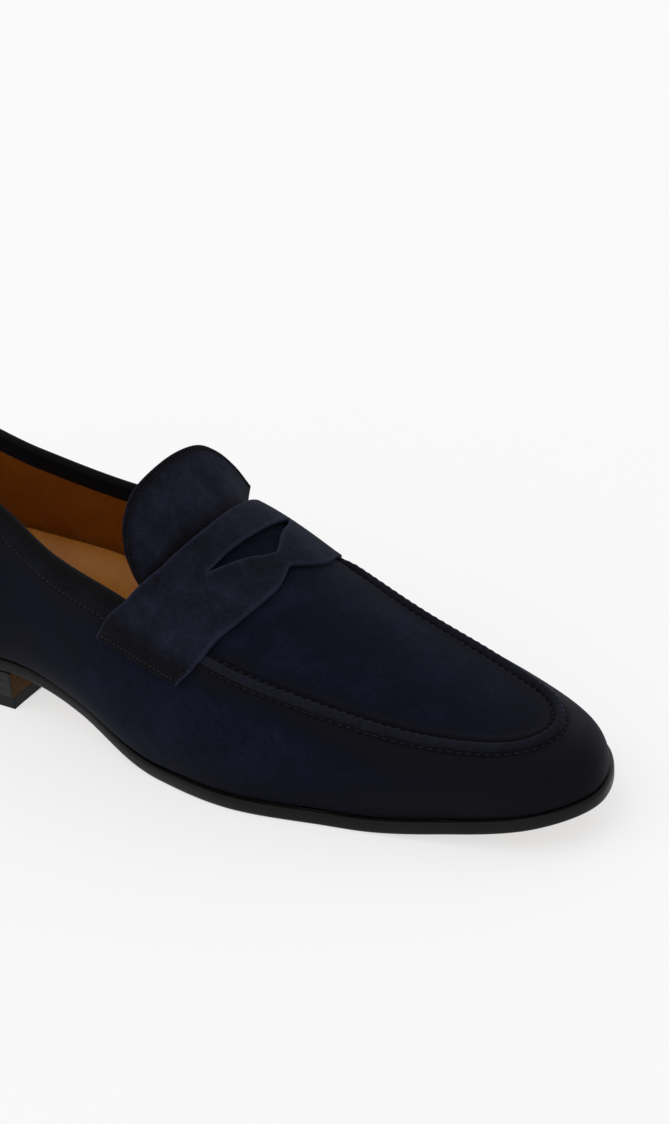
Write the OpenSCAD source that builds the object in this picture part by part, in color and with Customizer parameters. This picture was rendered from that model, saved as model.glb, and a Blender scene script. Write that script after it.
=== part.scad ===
// Penny loafer, left shoe: apron front, saddle strap with a slot, stacked heel.
// Toe along -Y, heel along +Y, lateral side +X, floor at z = 0.

/* [Overall] */
// Length of the outsole
shoe_len = 300; // [250:1:360]
// Width of the outsole at the ball
ball_w = 105; // [88:1:126]
// Height of the upper at the back, above the outsole
back_h = 66; // [56:1:79]

/* [Bottom] */
// Thickness of the outsole
sole_t = 5; // [4:0.1:6]
// Height of the heel under the outsole, top piece included
heel_h = 15; // [12:0.5:18]
// Length of the heel, from the back to its breast
heel_len = 77; // [64:1:92]
// Thickness of the rubber top piece
top_piece_t = 4.5; // [3.6:0.1:5.4]
// How far the toe's tip stands off the floor
toe_spring = 10.5; // [8:0.5:13]
// Thickness of the insole board
insole_t = 2.5; // [2:0.1:3]
// Thickness of the padded sock liner
sock_t = 3; // [2.4:0.1:3.6]
// Width of the steel shank
shank_w = 14; // [11:1:17]
// Length of the steel shank
shank_len = 96; // [80:1:116]
// Thickness of the steel shank
shank_t = 1.2; // [1:0.1:1.5]
// Radius of the nails that hold the heel
nail_r = 1.1; // [0.9:0.1:1.4]
// Radius of the brads in the top piece
brad_r = 0.8; // [0.6:0.05:1]

/* [Upper] */
// Thickness of the suede
suede_t = 1.3; // [1:0.1:1.6]
// Thickness of the toe puff and the heel counter
stiff_t = 0.8; // [0.6:0.1:1]
// Thickness of the lining leather
lining_t = 0.9; // [0.7:0.1:1.1]
// Width of the margin lasted under the insole
margin_w = 10; // [8:1:12]
// Width of the collar strip along the topline
collar_w = 9; // [7.5:0.5:11]
// Width of the raised seam around the apron
lip_w = 3.6; // [3:0.1:4.4]
// Height of the raised seam around the apron
lip_h = 2.2; // [1.8:0.1:2.7]

/* [Strap and tongue] */
// Thickness of the saddle strap
strap_t = 1.5; // [1.2:0.1:1.8]
// How far the strap runs down each side, as a share of the wall
strap_drop = 0.3; // [0.25:0.01:0.36]
// Height of the tongue above the strap
tongue_h = 20; // [16.5:0.5:24]
// Gap between the tongue's root and the strap
tongue_gap = 0.6; // [0.5:0.1:0.8]

/* [Stitching] */
// Pitch of the stitches around the apron
moc_pitch = 4; // [3.3:0.1:4.8]
// Pitch of the fine stitches
fine_pitch = 3; // [2.5:0.1:3.6]
// Radius of the thread
thread_r = 0.35; // [0.3:0.05:0.45]

/* [Hidden] */

// Clearance between pieces that lie against each other
gap = 0.05;
// Clearance between the curved layers of the upper
layer_gap = 0.15;
// Clearance of the lasted margin above the outsole
seat_gap = 0.12;
// Clearance of a board inside the lasted upper
board_gap = 0.9;
// Clearance of a fine stitch above the leather
stitch_gap = 0.25;
// Clearance of a nail in its hole
nail_gap = 0.02;
lift_count = 3;

// Layers of the upper, as depths below its outer face
stiff_in = suede_t + layer_gap;
lining_in = stiff_in + stiff_t + layer_gap;
lining_out = lining_in + lining_t;

// Scales from the last's tables, which are drawn for a 300 x 105 shoe 66 high
k_len = shoe_len / 300;
k_wide = ball_w / 105;
k_high = back_h / 66;

// The last, at 11 stations from the heel's back (0) to the toe's tip (10).
// Sole outline: distance from the back, medial and lateral half-widths
out_s = [0, 6, 26, 60, 100, 140, 180, 218, 256, 287, 300];
out_m = [0, -19, -30, -30, -32, -43, -49.5, -43.5, -35.5, -25, -4];
out_l = [0, 19, 31, 33, 36, 43, 51, 55, 44.5, 24, -4];
// Ledge of the outsole around the upper
ledge = [1, 1, 1, 0.5, 0, 1, 2, 2, 2, 1.5, 1.5];
// Upper edge of the walls: topline up to station 5, apron seam from there
rim_s = [7, 11, 28, 60, 100, 138, 175, 210, 244, 271, 281];
rim_m = [0, -13, -20, -15.5, -28, -37, -41, -37, -29, -17, -1];
rim_l = [0, 13, 22, 21, 28, 38, 37, 31, 26, 16, -1];
rim_z = [66, 65, 63, 57.3, 50.3, 51.8, 43.5, 36, 27.5, 21.3, 19.7];
// Shares of the heel's height and the toe spring that lift the rim
rim_heel = [1, 1, 1, 1, 0.8, 0.4, 0.1, 0, 0, 0, 0];
rim_toe = [0, 0, 0, 0, 0, 0, 0, 0, 0.1, 0.4, 0.6];
// Outward lean of the wall at its foot, and the reach of that lean
lean_l = [12, 12, 12, 14, 18, 14, 10, 8, 6, 5, 5];
lean_m = [12, 12, 12, 14, 32, 24, 12, 8, 6, 5, 5];
foot_reach = [22, 22, 22, 20, 18, 18, 18, 15, 12, 9, 9];
// Steepness of the wall at its rim, and the reach of that slope
rim_fall = [75, 75, 75, 72, 68, 60, 50, 32, 30, 24, 18];
rim_reach = [22, 22, 20, 18, 18, 16, 12, 11, 11, 10, 10];
// Rise of the apron at the seam
apron_rise = [0, 0, 0, 0, 0, 52, 38, 26, 20, 14, 0];
apron_reach = 0.35;

// Underside of the outsole: distance from the back and height
under_s = [0, heel_len, 110 * k_len, 150 * k_len, 200 * k_len, 225 * k_len, 262 * k_len, shoe_len];
under_z = [heel_h, heel_h, 0.63 * heel_h, 0, 0, 0, 0.38 * toe_spring, toe_spring];

// Tongue's free edge from its medial corner over the top to its lateral corner:
// across, height above the root's crest, and distance from the heel's back
tongue_x = [-30, -29, -26, -16, 3, 19.5, 29.5, 36, 40];
tongue_z = [-6, 1, 9.5, 17.3, 20, 17.8, 11.5, 3, -6];
tongue_s = [137, 134.5, 133, 131.3, 130.7, 131, 132.3, 135, 138];
// Its root: the two corners, how far they drop, and the distance from the heel's back
root_m = -31;
root_l = 33;
root_drop = 10.5;
root_s = 148.8;
root_bow = 8;

// Strap edges across the shoe: -1..0 medial wall, 0..1 apron, 1..2 lateral wall
strap_at = [-1, -0.5, 0, 0.2, 0.35, 0.47, 0.6, 0.73, 0.85, 1, 1.5, 2];
strap_back = [4.78, 4.88, 5.03, 5.22, 5.28, 5.3, 5.28, 5.24, 5.18, 5.05, 4.9, 4.8];
strap_front = [5.7, 5.83, 5.92, 6.04, 6.1, 6.1, 6, 6.1, 6.09, 5.98, 5.85, 5.72];
// Slot in the strap: share across the apron and station
slot_pts = [
    [0.3, 5.58], [0.45, 5.585], [0.6, 5.59], [0.75, 5.56], [0.89, 5.5],
    [0.82, 5.59], [0.73, 5.67], [0.66, 5.76], [0.6, 5.83], [0.54, 5.8],
    [0.47, 5.73], [0.38, 5.655]
];

// Curve helpers
function blend(a, b, q) = a + (b - a) * q;
function clamp(x, lo, hi) = min(max(x, lo), hi);
function unit(v) = v / norm(v);
function cubic(a, b, c, d, q) =
    0.5 * (2 * b + (c - a) * q + (2 * a - 5 * b + 4 * c - d) * q * q
        + (3 * b - a - 3 * c + d) * q * q * q);
function bezier(a, b, c, d, q) =
    a * pow(1 - q, 3) + 3 * b * q * pow(1 - q, 2) + 3 * c * q * q * (1 - q) + d * pow(q, 3);
// Smooth reading of a table that is even about both of its ends
function read_even(tab, t) =
    let (n = len(tab) - 1, i = clamp(floor(t), 0, n - 1))
    cubic(tab[i == 0 ? 1 : i - 1], tab[i], tab[i + 1], tab[i + 2 > n ? n - 1 : i + 2], t - i);
// Smooth reading of a table that runs straight on past its ends
function read_open(tab, t) =
    let (n = len(tab) - 1, i = clamp(floor(t), 0, n - 1))
    cubic(
        i == 0 ? 2 * tab[0] - tab[1] : tab[i - 1], tab[i], tab[i + 1],
        i + 2 > n ? 2 * tab[n] - tab[n - 1] : tab[i + 2], t - i
    );
// Reading of one side's half-width; it carries on as the other side's at both ends
function read_side(tab, other, t) =
    let (n = len(tab) - 1, i = clamp(floor(t), 0, n - 1))
    cubic(i == 0 ? other[1] : tab[i - 1], tab[i], tab[i + 1],
        i + 2 > n ? other[n - 1] : tab[i + 2], t - i);

// Height of the outsole's underside at a distance s from the back
function under_slope(i) = (under_z[i + 1] - under_z[i]) / (under_s[i + 1] - under_s[i]);
function under_tangent(i) =
    i == 0 ? under_slope(0)
    : i == len(under_s) - 1 ? under_slope(i - 1)
    : under_slope(i - 1) * under_slope(i) <= 0 ? 0
    : 2 * under_slope(i - 1) * under_slope(i) / (under_slope(i - 1) + under_slope(i));
function under_span(s, i = 0) =
    i >= len(under_s) - 2 || s < under_s[i + 1] ? i : under_span(s, i + 1);
function underside(s) =
    let (
        c = clamp(s, 0, shoe_len),
        i = under_span(c),
        h = under_s[i + 1] - under_s[i],
        q = (c - under_s[i]) / h
    )
    (2 * pow(q, 3) - 3 * q * q + 1) * under_z[i]
    + (pow(q, 3) - 2 * q * q + q) * h * under_tangent(i)
    + (3 * q * q - 2 * pow(q, 3)) * under_z[i + 1]
    + (pow(q, 3) - q * q) * h * under_tangent(i + 1);
function sole_top(y) = underside(-y) + sole_t;

// Position u runs round the shoe: 0 heel's back, 10 toe's tip, 20 the back again;
// the medial side is 0..10, and negative values are the lateral side near the heel.
function around(u) = u < 0 ? u + 20 : u > 20 ? u - 20 : u;
function station(u) = let (a = around(u)) a <= 10 ? a : 20 - a;
function medial(u) = around(u) <= 10;
function outline(u) =
    let (t = station(u))
    [
        k_wide * (medial(u) ? read_side(out_m, out_l, t) : read_side(out_l, out_m, t)),
        -k_len * read_even(out_s, t)
    ];
function outward(u) = let (d = unit(outline(u + 0.01) - outline(u - 0.01))) [d.y, -d.x];
function inset(u, depth) = outline(u) - outward(u) * depth;
function foot(u) =
    let (p = inset(u, read_even(ledge, station(u))))
    [p.x, p.y, sole_top(p.y)];
function rim(u) =
    let (t = station(u))
    [
        k_wide * (medial(u) ? read_side(rim_m, rim_l, t) : read_side(rim_l, rim_m, t)),
        -k_len * read_even(rim_s, t),
        sole_t + k_high * read_even(rim_z, t) + heel_h * read_even(rim_heel, t)
            + toe_spring * read_even(rim_toe, t)
    ];
// Outer face of the wall, v = 0 at its foot and 1 at the rim
function wall(u, v) =
    let (
        t = station(u),
        n = outward(u),
        a = foot(u),
        d = rim(u),
        lean = read_even(medial(u) ? lean_m : lean_l, t),
        fall = read_even(rim_fall, t),
        b = a + read_even(foot_reach, t) * [n.x * sin(lean), n.y * sin(lean), cos(lean)],
        c = d + read_even(rim_reach, t) * [n.x * cos(fall), n.y * cos(fall), -sin(fall)]
    )
    bezier(a, b, c, d, v);
function wall_normal(u, v) =
    unit(cross(wall(u + 0.02, v) - wall(u - 0.02, v), wall(u, v + 0.01) - wall(u, v - 0.01)));
function wall_in(u, v, depth) = wall(u, v) - wall_normal(u, v) * depth;
// Where a layer starts up the wall, clear of its own margin
function wall_low(u, depth) = max(0.08, (depth + 2) / (3 * read_even(foot_reach, station(u))));
// Margin lasted under the insole
function foot_in(u, depth) =
    let (p = foot(u), n = outward(u))
    [p.x - n.x * depth, p.y - n.y * depth, p.z + depth + seat_gap];
function margin_in(u, depth) =
    let (p = inset(u, read_even(ledge, station(u)) + margin_w))
    [p.x, p.y, sole_top(p.y) + depth + seat_gap];

// Apron between the two rims, w = 0 medial and 1 lateral
function arch(a, d, rise, q) =
    let (
        span = norm(d - a),
        e = unit(d - a),
        reach = apron_reach * span,
        b = a + reach * (cos(rise) * e + [0, 0, sin(rise)]),
        c = d + reach * ([0, 0, sin(rise)] - cos(rise) * e)
    )
    bezier(a, b, c, d, q);
function top(t, w) = arch(rim(t), rim(20 - t), read_even(apron_rise, t), w);
function top_normal(t, w) =
    unit(cross(top(t + 0.02, w) - top(t - 0.02, w), top(t, w + 0.01) - top(t, w - 0.01)));
function top_in(t, w, depth) = top(t, w) - top_normal(t, w) * depth;

// Tongue; its hinge line is the crest of its root
hinge_t = 5.28;
hinge_p = top(hinge_t, 0.5);
function tongue_root(w) =
    let (
        y = -k_len * (root_s - root_bow * pow(2 * w - 1, 2)),
        a = [k_wide * root_m, y, hinge_p.z - root_drop],
        d = [k_wide * root_l, y, hinge_p.z - root_drop],
        up = [0, 0, root_drop / 0.75]
    )
    bezier(a, a + 0.13 * (d - a) + up, d - 0.13 * (d - a) + up, d, w);
function tongue_edge(w) = [
    k_wide * read_open(tongue_x, 8 * w),
    -k_len * read_open(tongue_s, 8 * w),
    hinge_p.z + read_open(tongue_z, 8 * w) * tongue_h / 20
];
// k = 0 at the root and 1 at the free edge
function tongue(k, w) = blend(tongue_root(w), tongue_edge(w), k);
function tongue_normal(k, w) =
    unit(cross(tongue(k, w + 0.01) - tongue(k, w - 0.01), tongue(k + 0.01, w) - tongue(k - 0.01, w)));
function tongue_in(k, w, depth) = tongue(k, w) - tongue_normal(k, w) * depth;

// Heights up the wall, as v
function drop(u, mm) = 1 - mm / (3.3 * read_even(rim_reach, station(u)));
collar_end = 5.08;
seam_v = 0.985;
// Top of the wall pieces: under the collar, then at the apron's seam
function wall_top(u, mm) =
    let (t = station(u))
    blend(drop(u, mm), seam_v, clamp((t - collar_end - 0.25) / 0.25, 0, 1));
// The foxing's front edge, from foot (p = 0) to collar (p = 1)
function foxing_edge(p) = 2.6 - 1.2 * p + 0.5 * p * p;

// A closed solid between two grids of the same size; the first is its outer face
module shell(outer, inner) {
    rows = len(outer);
    cols = len(outer[0]);
    far = rows * cols;
    function at(i, j) = i * cols + j;
    pts = [for (g = [outer, inner], r = g, p = r) p];
    faces = concat(
        [for (i = [0:rows - 2], j = [0:cols - 2], f = [0, 1])
            f == 0 ? [at(i, j), at(i, j + 1), at(i + 1, j)]
            : [at(i + 1, j), at(i, j + 1), at(i + 1, j + 1)]],
        [for (i = [0:rows - 2], j = [0:cols - 2], f = [0, 1])
            f == 0 ? [far + at(i, j), far + at(i + 1, j), far + at(i, j + 1)]
            : [far + at(i + 1, j), far + at(i + 1, j + 1), far + at(i, j + 1)]],
        [for (i = [0:rows - 2], f = [0, 1], e = [0, 1])
            let (j = e * (cols - 1), a = at(i, j), b = at(i + 1, j), q = [[a, b, far + a], [b, far + b, far + a]][f])
            e == 0 ? q : [q[0], q[2], q[1]]],
        [for (j = [0:cols - 2], f = [0, 1], e = [0, 1])
            let (i = e * (rows - 1), a = at(i, j), b = at(i, j + 1), q = [[a, far + a, b], [b, far + a, far + b]][f])
            e == 0 ? q : [q[0], q[2], q[1]]]
    );
    polyhedron(pts, faces);
}

// A closed solid swept through rings of the same size
module loft(rings) {
    count = len(rings);
    n = len(rings[0]);
    pts = [for (r = rings, p = r) p];
    polyhedron(pts, concat(
        [for (i = [0:count - 2], j = [0:n - 1], f = [0, 1])
            let (k = (j + 1) % n)
            f == 0 ? [i * n + j, i * n + k, (i + 1) * n + j]
            : [(i + 1) * n + j, i * n + k, (i + 1) * n + k]],
        [[for (j = [n - 1:-1:0]) j], [for (j = [0:n - 1]) (count - 1) * n + j]]
    ));
}

// One stitch between two points, proud of a face with the given normal
module stitch(a, b, normal) {
    side = unit(cross(b - a, normal)) * thread_r;
    up = unit(normal) * thread_r;
    m = (a + b) / 2 + up;
    pts = [a, b, m + side, m + up, m - side, m - up * 0.9];
    polyhedron(pts, [
        [0, 3, 2], [0, 4, 3], [0, 5, 4], [0, 2, 5],
        [1, 2, 3], [1, 3, 4], [1, 4, 5], [1, 5, 2]
    ]);
}

// A row of stitches along points, with their normals; the gap is a third of the pitch
module stitches(pts, normals, pitch) {
    run = [for (i = 0, d = 0; i < len(pts); d = d + norm(pts[min(i + 1, len(pts) - 1)] - pts[i]), i = i + 1) d];
    total = run[len(run) - 1];
    count = floor(total / pitch);
    for (n = [0:count - 1]) {
        p = [for (e = [0.17, 0.83]) along(pts, run, (n + e) * total / count)];
        i = nearest(run, (n + 0.5) * total / count);
        stitch(p[0], p[1], normals[i]);
    }
}
function nearest(run, d, i = 0) = i >= len(run) - 2 || run[i + 1] > d ? i : nearest(run, d, i + 1);
function along(pts, run, d) =
    let (i = nearest(run, d))
    blend(pts[i], pts[i + 1], (d - run[i]) / (run[i + 1] - run[i]));

// The frame: the box of the whole shoe is centred on x = 0 and y = 0
round_u = [for (i = [0:79]) i / 4];
edge_x = [for (u = round_u) outline(u).x];
back_y = max([for (v = [0:0.05:0.6]) wall(0, v).y]);
shift = [-(min(edge_x) + max(edge_x)) / 2, (shoe_len - back_y) / 2, 0];
module place() translate(shift) children();

// A layer that follows the sole: plan points, between two heights above the outsole's top
module slab(plan, low, high) {
    steps = concat([-5, heel_len / 2], [for (i = [0:56]) blend(heel_len, shoe_len + 5, i / 56)]);
    last = len(steps) - 1;
    intersection() {
        translate([0, 0, -20]) linear_extrude(120) polygon(plan);
        rotate([90, 0, 90]) translate([0, 0, -ball_w]) linear_extrude(2 * ball_w) polygon(concat(
            [for (s = steps) [-s, sole_top(-s) + low]],
            [for (i = [last:-1:0]) [-steps[i], sole_top(-steps[i]) + high]]
        ));
    }
}
function plan_inset(depth) = [for (u = round_u) inset(u, depth)];
// Boards stand clear of the walls, which close in over the toe
function board_depth(u, extra) =
    read_even(ledge, station(u)) + lining_out + board_gap + extra
    + 5 * pow(clamp((station(u) - 6) / 4, 0, 1), 2);
function board_plan(extra) = [for (u = round_u) inset(u, board_depth(u, extra))];

board_low = lining_out + seat_gap + 0.3;
sock_low = board_low + insole_t + gap;
lift_t = (heel_h - top_piece_t) / lift_count;
shank_from = heel_len * 0.75;

// Nail places: distance from the back and across, as shares of the heel
heel_nail_at = [[0.28, 0], [0.45, -0.5], [0.45, 0.5], [0.75, -0.5], [0.75, 0.5]];
brad_at = [
    [0.12, 0], [0.2, -0.45], [0.2, 0.45], [0.42, -0.72], [0.42, 0.72],
    [0.68, -0.76], [0.68, 0.76], [0.9, -0.5], [0.9, 0], [0.9, 0.5]
];
heel_half = k_wide * 31;
module heel_nail_set(r, low, high) {
    for (p = heel_nail_at)
        translate([p.y * heel_half, -p.x * heel_len, low]) cylinder(h = high - low, r = r, $fn = 24);
}
module brad_set(r, low, high) {
    for (p = brad_at)
        translate([p.y * heel_half, -p.x * heel_len, low]) cylinder(h = high - low, r = r, $fn = 24);
}
nail_low = top_piece_t + 1;
nail_high = heel_h + sole_t + board_low + insole_t;
brad_high = top_piece_t + lift_t + 2;

module outsole() {
    color("#2c2c2e") place() difference() {
        slab(plan_inset(0), -sole_t, 0);
        heel_nail_set(nail_r + nail_gap, 0, 90);
    }
}

module heel_block(low, high) {
    difference() {
        intersection() {
            translate([0, 0, low]) linear_extrude(high - low) polygon(plan_inset(0));
            translate([-ball_w, -heel_len, 0]) cube([2 * ball_w, heel_len + 20, heel_h]);
        }
        heel_nail_set(nail_r + nail_gap, nail_low, 90);
        brad_set(brad_r + nail_gap, -1, brad_high);
    }
}

module heel_lift_1() color("#3a322b") place() heel_block(heel_h - lift_t, heel_h);
module heel_lift_2() color("#38302a") place() heel_block(heel_h - 2 * lift_t, heel_h - lift_t);
module heel_lift_3() color("#3a322b") place() heel_block(top_piece_t, heel_h - 2 * lift_t);
module heel_top_piece() color("#232325") place() heel_block(0, top_piece_t);
module heel_nails() color("#9a9a9c") place() heel_nail_set(nail_r, nail_low, nail_high);
module top_piece_brads() color("#a58a4a") place() brad_set(brad_r, gap, brad_high);

module insole() {
    color("#b98d5c") place() difference() {
        slab(board_plan(0), board_low, board_low + insole_t);
        heel_nail_set(nail_r + nail_gap, 0, 90);
    }
}

module shank_shape(low, high, grow) {
    slab([
        for (a = [0:15:165]) [(shank_w / 2 + grow) * cos(a), -shank_from + (shank_w / 2 + grow) * sin(a)],
        for (a = [180:15:345])
            [(shank_w / 2 + grow) * cos(a), -shank_from - shank_len + shank_w + (shank_w / 2 + grow) * sin(a)]
    ], low, high);
}

module shank() {
    color("#8e9094") place() difference() {
        shank_shape(gap, gap + shank_t, 0);
        heel_nail_set(nail_r + nail_gap, 0, 90);
    }
}

module cork_filler() {
    color("#a9835a") place() difference() {
        slab([for (u = round_u) inset(u, read_even(ledge, station(u)) + margin_w + board_gap)],
            gap, board_low - gap);
        shank_shape(-1, 2 * gap + shank_t, 0.2);
        heel_nail_set(nail_r + nail_gap, 0, 90);
    }
}

module sock_liner() color("#c07f36") place() slab(board_plan(0.3), sock_low, sock_low + sock_t);

// A leather layer on the wall, with its lasted margin; edge functions give its two ends
function wall_grid(depth, starts, ends, tops, rows, cols) = [
    for (i = [0:rows]) [
        for (j = [-2:cols])
            let (
                p = max(j, 0) / cols,
                u = blend(starts[max(j, 0)], ends[max(j, 0)], i / rows),
                v = blend(wall_low(u, depth), wall_top(u, tops), p)
            )
            j == -2 ? margin_in(u, depth) : j == -1 ? foot_in(u, depth) : wall_in(u, v, depth)
    ]
];
module wall_layer(depth, thick, starts, ends, tops, rows) {
    cols = len(starts) - 1;
    shell(
        wall_grid(depth, starts, ends, tops, rows, cols),
        wall_grid(depth + thick, starts, ends, tops, rows, cols)
    );
}
function level(x, cols) = [for (j = [0:cols]) x];

module vamp() {
    cols = 9;
    starts = [for (j = [0:cols]) foxing_edge(j / cols) + 0.01];
    color("#1b2033") place()
        wall_layer(0, suede_t, starts, [for (s = starts) 20 - s], collar_w, 62);
}

module heel_foxing() {
    cols = 9;
    starts = [for (j = [0:cols]) foxing_edge(j / cols) - 0.01];
    color("#171b2b") place()
        wall_layer(0, suede_t, [for (s = starts) -s], starts, collar_w, 22);
}

module toe_puff() {
    color("#cfc4ae") place()
        wall_layer(stiff_in, stiff_t, level(8.4, 7), level(11.6, 7), collar_w, 20);
}

module heel_counter() {
    color("#cfc4ae") place()
        wall_layer(stiff_in, stiff_t, level(-2.4, 7), level(2.4, 7), collar_w + 2, 20);
}

module vamp_lining() {
    color("#b4712c") place()
        wall_layer(lining_in, lining_t, level(4.26, 8), level(15.74, 8), collar_w + 1.2, 38);
}

module quarter_lining() {
    color("#b87631") place()
        wall_layer(lining_in, lining_t, level(-4.24, 8), level(4.24, 8), collar_w + 1.2, 28);
}

// The strip folded over the topline: outer leg, fold and inner leg
module topline_collar() {
    function ring(u) =
        let (
            low = drop(u, collar_w) + 0.006,
            low_in = drop(u, collar_w + 1) + 0.006,
            crest = 1 - 1.2 / (3.3 * read_even(rim_reach, station(u))),
            lift = [0, 0, 0.7]
        )
        concat(
            [for (p = [0:0.25:1]) wall_in(u, blend(low, 1, p), 0)],
            [wall_in(u, 1, lining_out * 0.3) + lift, wall_in(u, 1, lining_out * 0.7) + lift],
            [for (p = [1:-0.25:0]) wall_in(u, blend(low_in, 1, p), lining_out)],
            [for (p = [0, 0.5, 1]) wall_in(u, blend(low_in, crest, p), lining_in)],
            [for (p = [1, 0.5, 0]) wall_in(u, blend(low, crest, p), suede_t)]
        );
    color("#11141f") place() loft([
        for (i = [0:46]) ring(blend(-collar_end, collar_end, i / 46))
    ]);
}

// The apron and its lining
apron_from = 5.42;
module top_layer(depth, thick, rows, cols, trim, toe_end) {
    function grid(d) = [
        for (i = [0:rows]) [
            for (j = [0:cols])
                top_in(blend(apron_from, toe_end, i / rows), blend(trim, 1 - trim, j / cols), d)
        ]
    ];
    shell(grid(depth), grid(depth + thick));
}
module apron() color("#20263b") place() top_layer(0, suede_t, 30, 14, 0.012, 9.93);
module apron_lining() color("#b4712c") place() top_layer(lining_in, lining_t, 24, 10, 0.025, 9.7);

// The raised seam around the apron, in front of the strap
lip_from = 6.02;
function rim_out(u) = let (d = unit(rim(u + 0.02) - rim(u - 0.02)), n = unit([d.y, -d.x])) n;
function lip_frame(u) =
    let (
        n = rim_out(u),
        fall = read_even(rim_fall, station(u)),
        rise = max(read_even(apron_rise, station(u)), 9),
        down = [n.x * cos(fall), n.y * cos(fall), -sin(fall)],
        in = [-n.x * cos(rise), -n.y * cos(rise), sin(rise)],
        e = unit(in - down),
        up = unit(cross(e, unit(rim(u + 0.02) - rim(u - 0.02))))
    )
    [down, in, e, up.z < 0 ? -up : up];
module moc_lip() {
    function ring(u) =
        let (f = lip_frame(u), p = rim(u) + f[3] * 0.15)
        concat(
            [p + f[1] * lip_w / 2 + f[3] * 0.15, p, p + f[0] * lip_w / 2 + f[3] * 0.15],
            [for (a = [150:-30:30]) p + f[2] * cos(a) * lip_w / 2 + f[3] * (0.15 + sin(a) * lip_h)]
        );
    color("#141826") place() loft([
        for (i = [0:60]) ring(blend(lip_from, 20 - lip_from, i / 60))
    ]);
}

// The saddle strap lies over both walls and the apron
function strap_read(tab, g) =
    let (i = strap_span(g), q = (g - strap_at[i]) / (strap_at[i + 1] - strap_at[i]))
    blend(tab[i], tab[i + 1], q);
function strap_span(g, i = 0) =
    i >= len(strap_at) - 2 || g < strap_at[i + 1] ? i : strap_span(g, i + 1);
function strap_point(t, g, height) =
    g < 0 ? wall_in(t, 1 + g * strap_drop, -height)
    : g > 1 ? wall_in(20 - t, 1 - (g - 1) * strap_drop, -height)
    : g == 0 ? (wall_in(t, 1, -height) + top_in(t, 0, -height)) / 2
    : g == 1 ? (wall_in(20 - t, 1, -height) + top_in(t, 1, -height)) / 2
    : top_in(t, g, -height);
strap_g = concat(
    [for (i = [-6:-1]) i / 6],
    [for (i = [0:20]) i / 20],
    [for (i = [1:6]) 1 + i / 6]
);
strap_low = 0.25;
module saddle_strap() {
    cols = 7;
    function grid(height) = [
        for (j = [0:cols]) [
            for (g = strap_g)
                strap_point(blend(strap_read(strap_back, g), strap_read(strap_front, g), j / cols), g, height)
        ]
    ];
    color("#20263b") place() difference() {
        shell(grid(strap_low + strap_t), grid(strap_low));
        linear_extrude(150) polygon([
            for (p = slot_pts) let (q = top(p.y, p.x)) [q.x, q.y]
        ]);
    }
}

// The tongue stands up behind the strap
tongue_from = 0.02;
module tongue_layer(depth, thick, rows, cols, trim) {
    function grid(d) = [
        for (i = [0:rows]) [
            for (j = [0:cols])
                tongue_in(blend(tongue_from, 1, i / rows), blend(trim, 1 - trim, j / cols), d)
                + [0, tongue_gap, 0]
        ]
    ];
    shell(grid(depth + thick), grid(depth));
}
module tongue() color("#232a41") place() tongue_layer(0, suede_t, 6, 24, 0);
module tongue_lining() color("#c98f4c") place() tongue_layer(suede_t + layer_gap, lining_t, 6, 24, 0.004);

// Threads
module moc_thread() {
    us = [for (i = [0:100]) blend(lip_from, 20 - lip_from, i / 100)];
    color("#3a4156") place() {
        stitches(
            [for (u = us) wall_in(u, 1 - 4.2 / (3.1 * read_even(rim_reach, station(u))), -gap)],
            [for (u = us) wall_normal(u, 0.9)], moc_pitch
        );
        stitches(
            [for (u = us) let (f = lip_frame(u)) rim(u) + f[1] * (lip_w / 2 + 0.9) + f[3] * 0.25],
            [for (u = us) lip_frame(u)[3]], moc_pitch
        );
    }
}

module strap_thread() {
    ts = [for (i = [0:10]) i / 10];
    color("#3a4156") place() for (side = [0, 1]) {
        g = side == 0 ? -0.86 : 1.86;
        pts = [
            for (q = ts)
                strap_point(blend(strap_read(strap_back, g) + 0.06, strap_read(strap_front, g) - 0.06, q), g,
                    strap_low + strap_t + gap)
        ];
        normals = [for (q = ts) wall_normal(side == 0 ? 5.3 : 14.7, 0.74)];
        stitches(pts, normals, fine_pitch);
    }
}

module collar_thread() {
    color("#3a4156") place() for (side = [-1, 1]) {
        us = [for (i = [0:60]) blend(0.04, 4.7, i / 60) * side];
        stitches(
            [for (u = us) wall_in(u, drop(u, collar_w + 1), -stitch_gap)],
            [for (u = us) wall_normal(u, drop(u, collar_w + 1))], fine_pitch
        );
    }
}

module foxing_thread() {
    color("#3a4156") place() for (side = [-1, 1], back = [0.06, 0.15]) {
        ps = [for (i = [0:16]) blend(0.02, 0.97, i / 16)];
        us = [for (p = ps) side * (foxing_edge(p) - back)];
        vs = [for (i = [0:16]) blend(0.08, wall_top(us[i], collar_w + 1.6), ps[i])];
        stitches(
            [for (i = [0:16]) wall_in(us[i], vs[i], -stitch_gap)],
            [for (i = [0:16]) wall_normal(us[i], vs[i])], fine_pitch
        );
    }
}

module tongue_thread() {
    path = [
        for (i = [0:40])
            let (w = blend(0.05, 0.95, i / 40))
            [1 - 2.5 / norm(tongue_edge(w) - tongue_root(w)), w]
    ];
    color("#3a4156") place() stitches(
        [for (p = path) tongue_in(p.x, p.y, -stitch_gap) + [0, tongue_gap, 0]],
        [for (p = path) tongue_normal(p.x, p.y)], fine_pitch
    );
}

outsole();
heel_lift_1();
heel_lift_2();
heel_lift_3();
heel_top_piece();
heel_nails();
top_piece_brads();
insole();
cork_filler();
shank();
sock_liner();
toe_puff();
heel_counter();
vamp();
apron();
moc_lip();
heel_foxing();
topline_collar();
saddle_strap();
tongue();
tongue_lining();
apron_lining();
vamp_lining();
quarter_lining();
moc_thread();
strap_thread();
collar_thread();
foxing_thread();
tongue_thread();
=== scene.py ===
"""Looks of the penny loafer: every leather piece is drawn again, finer, on the same last as the CAD part."""
import math

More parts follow.
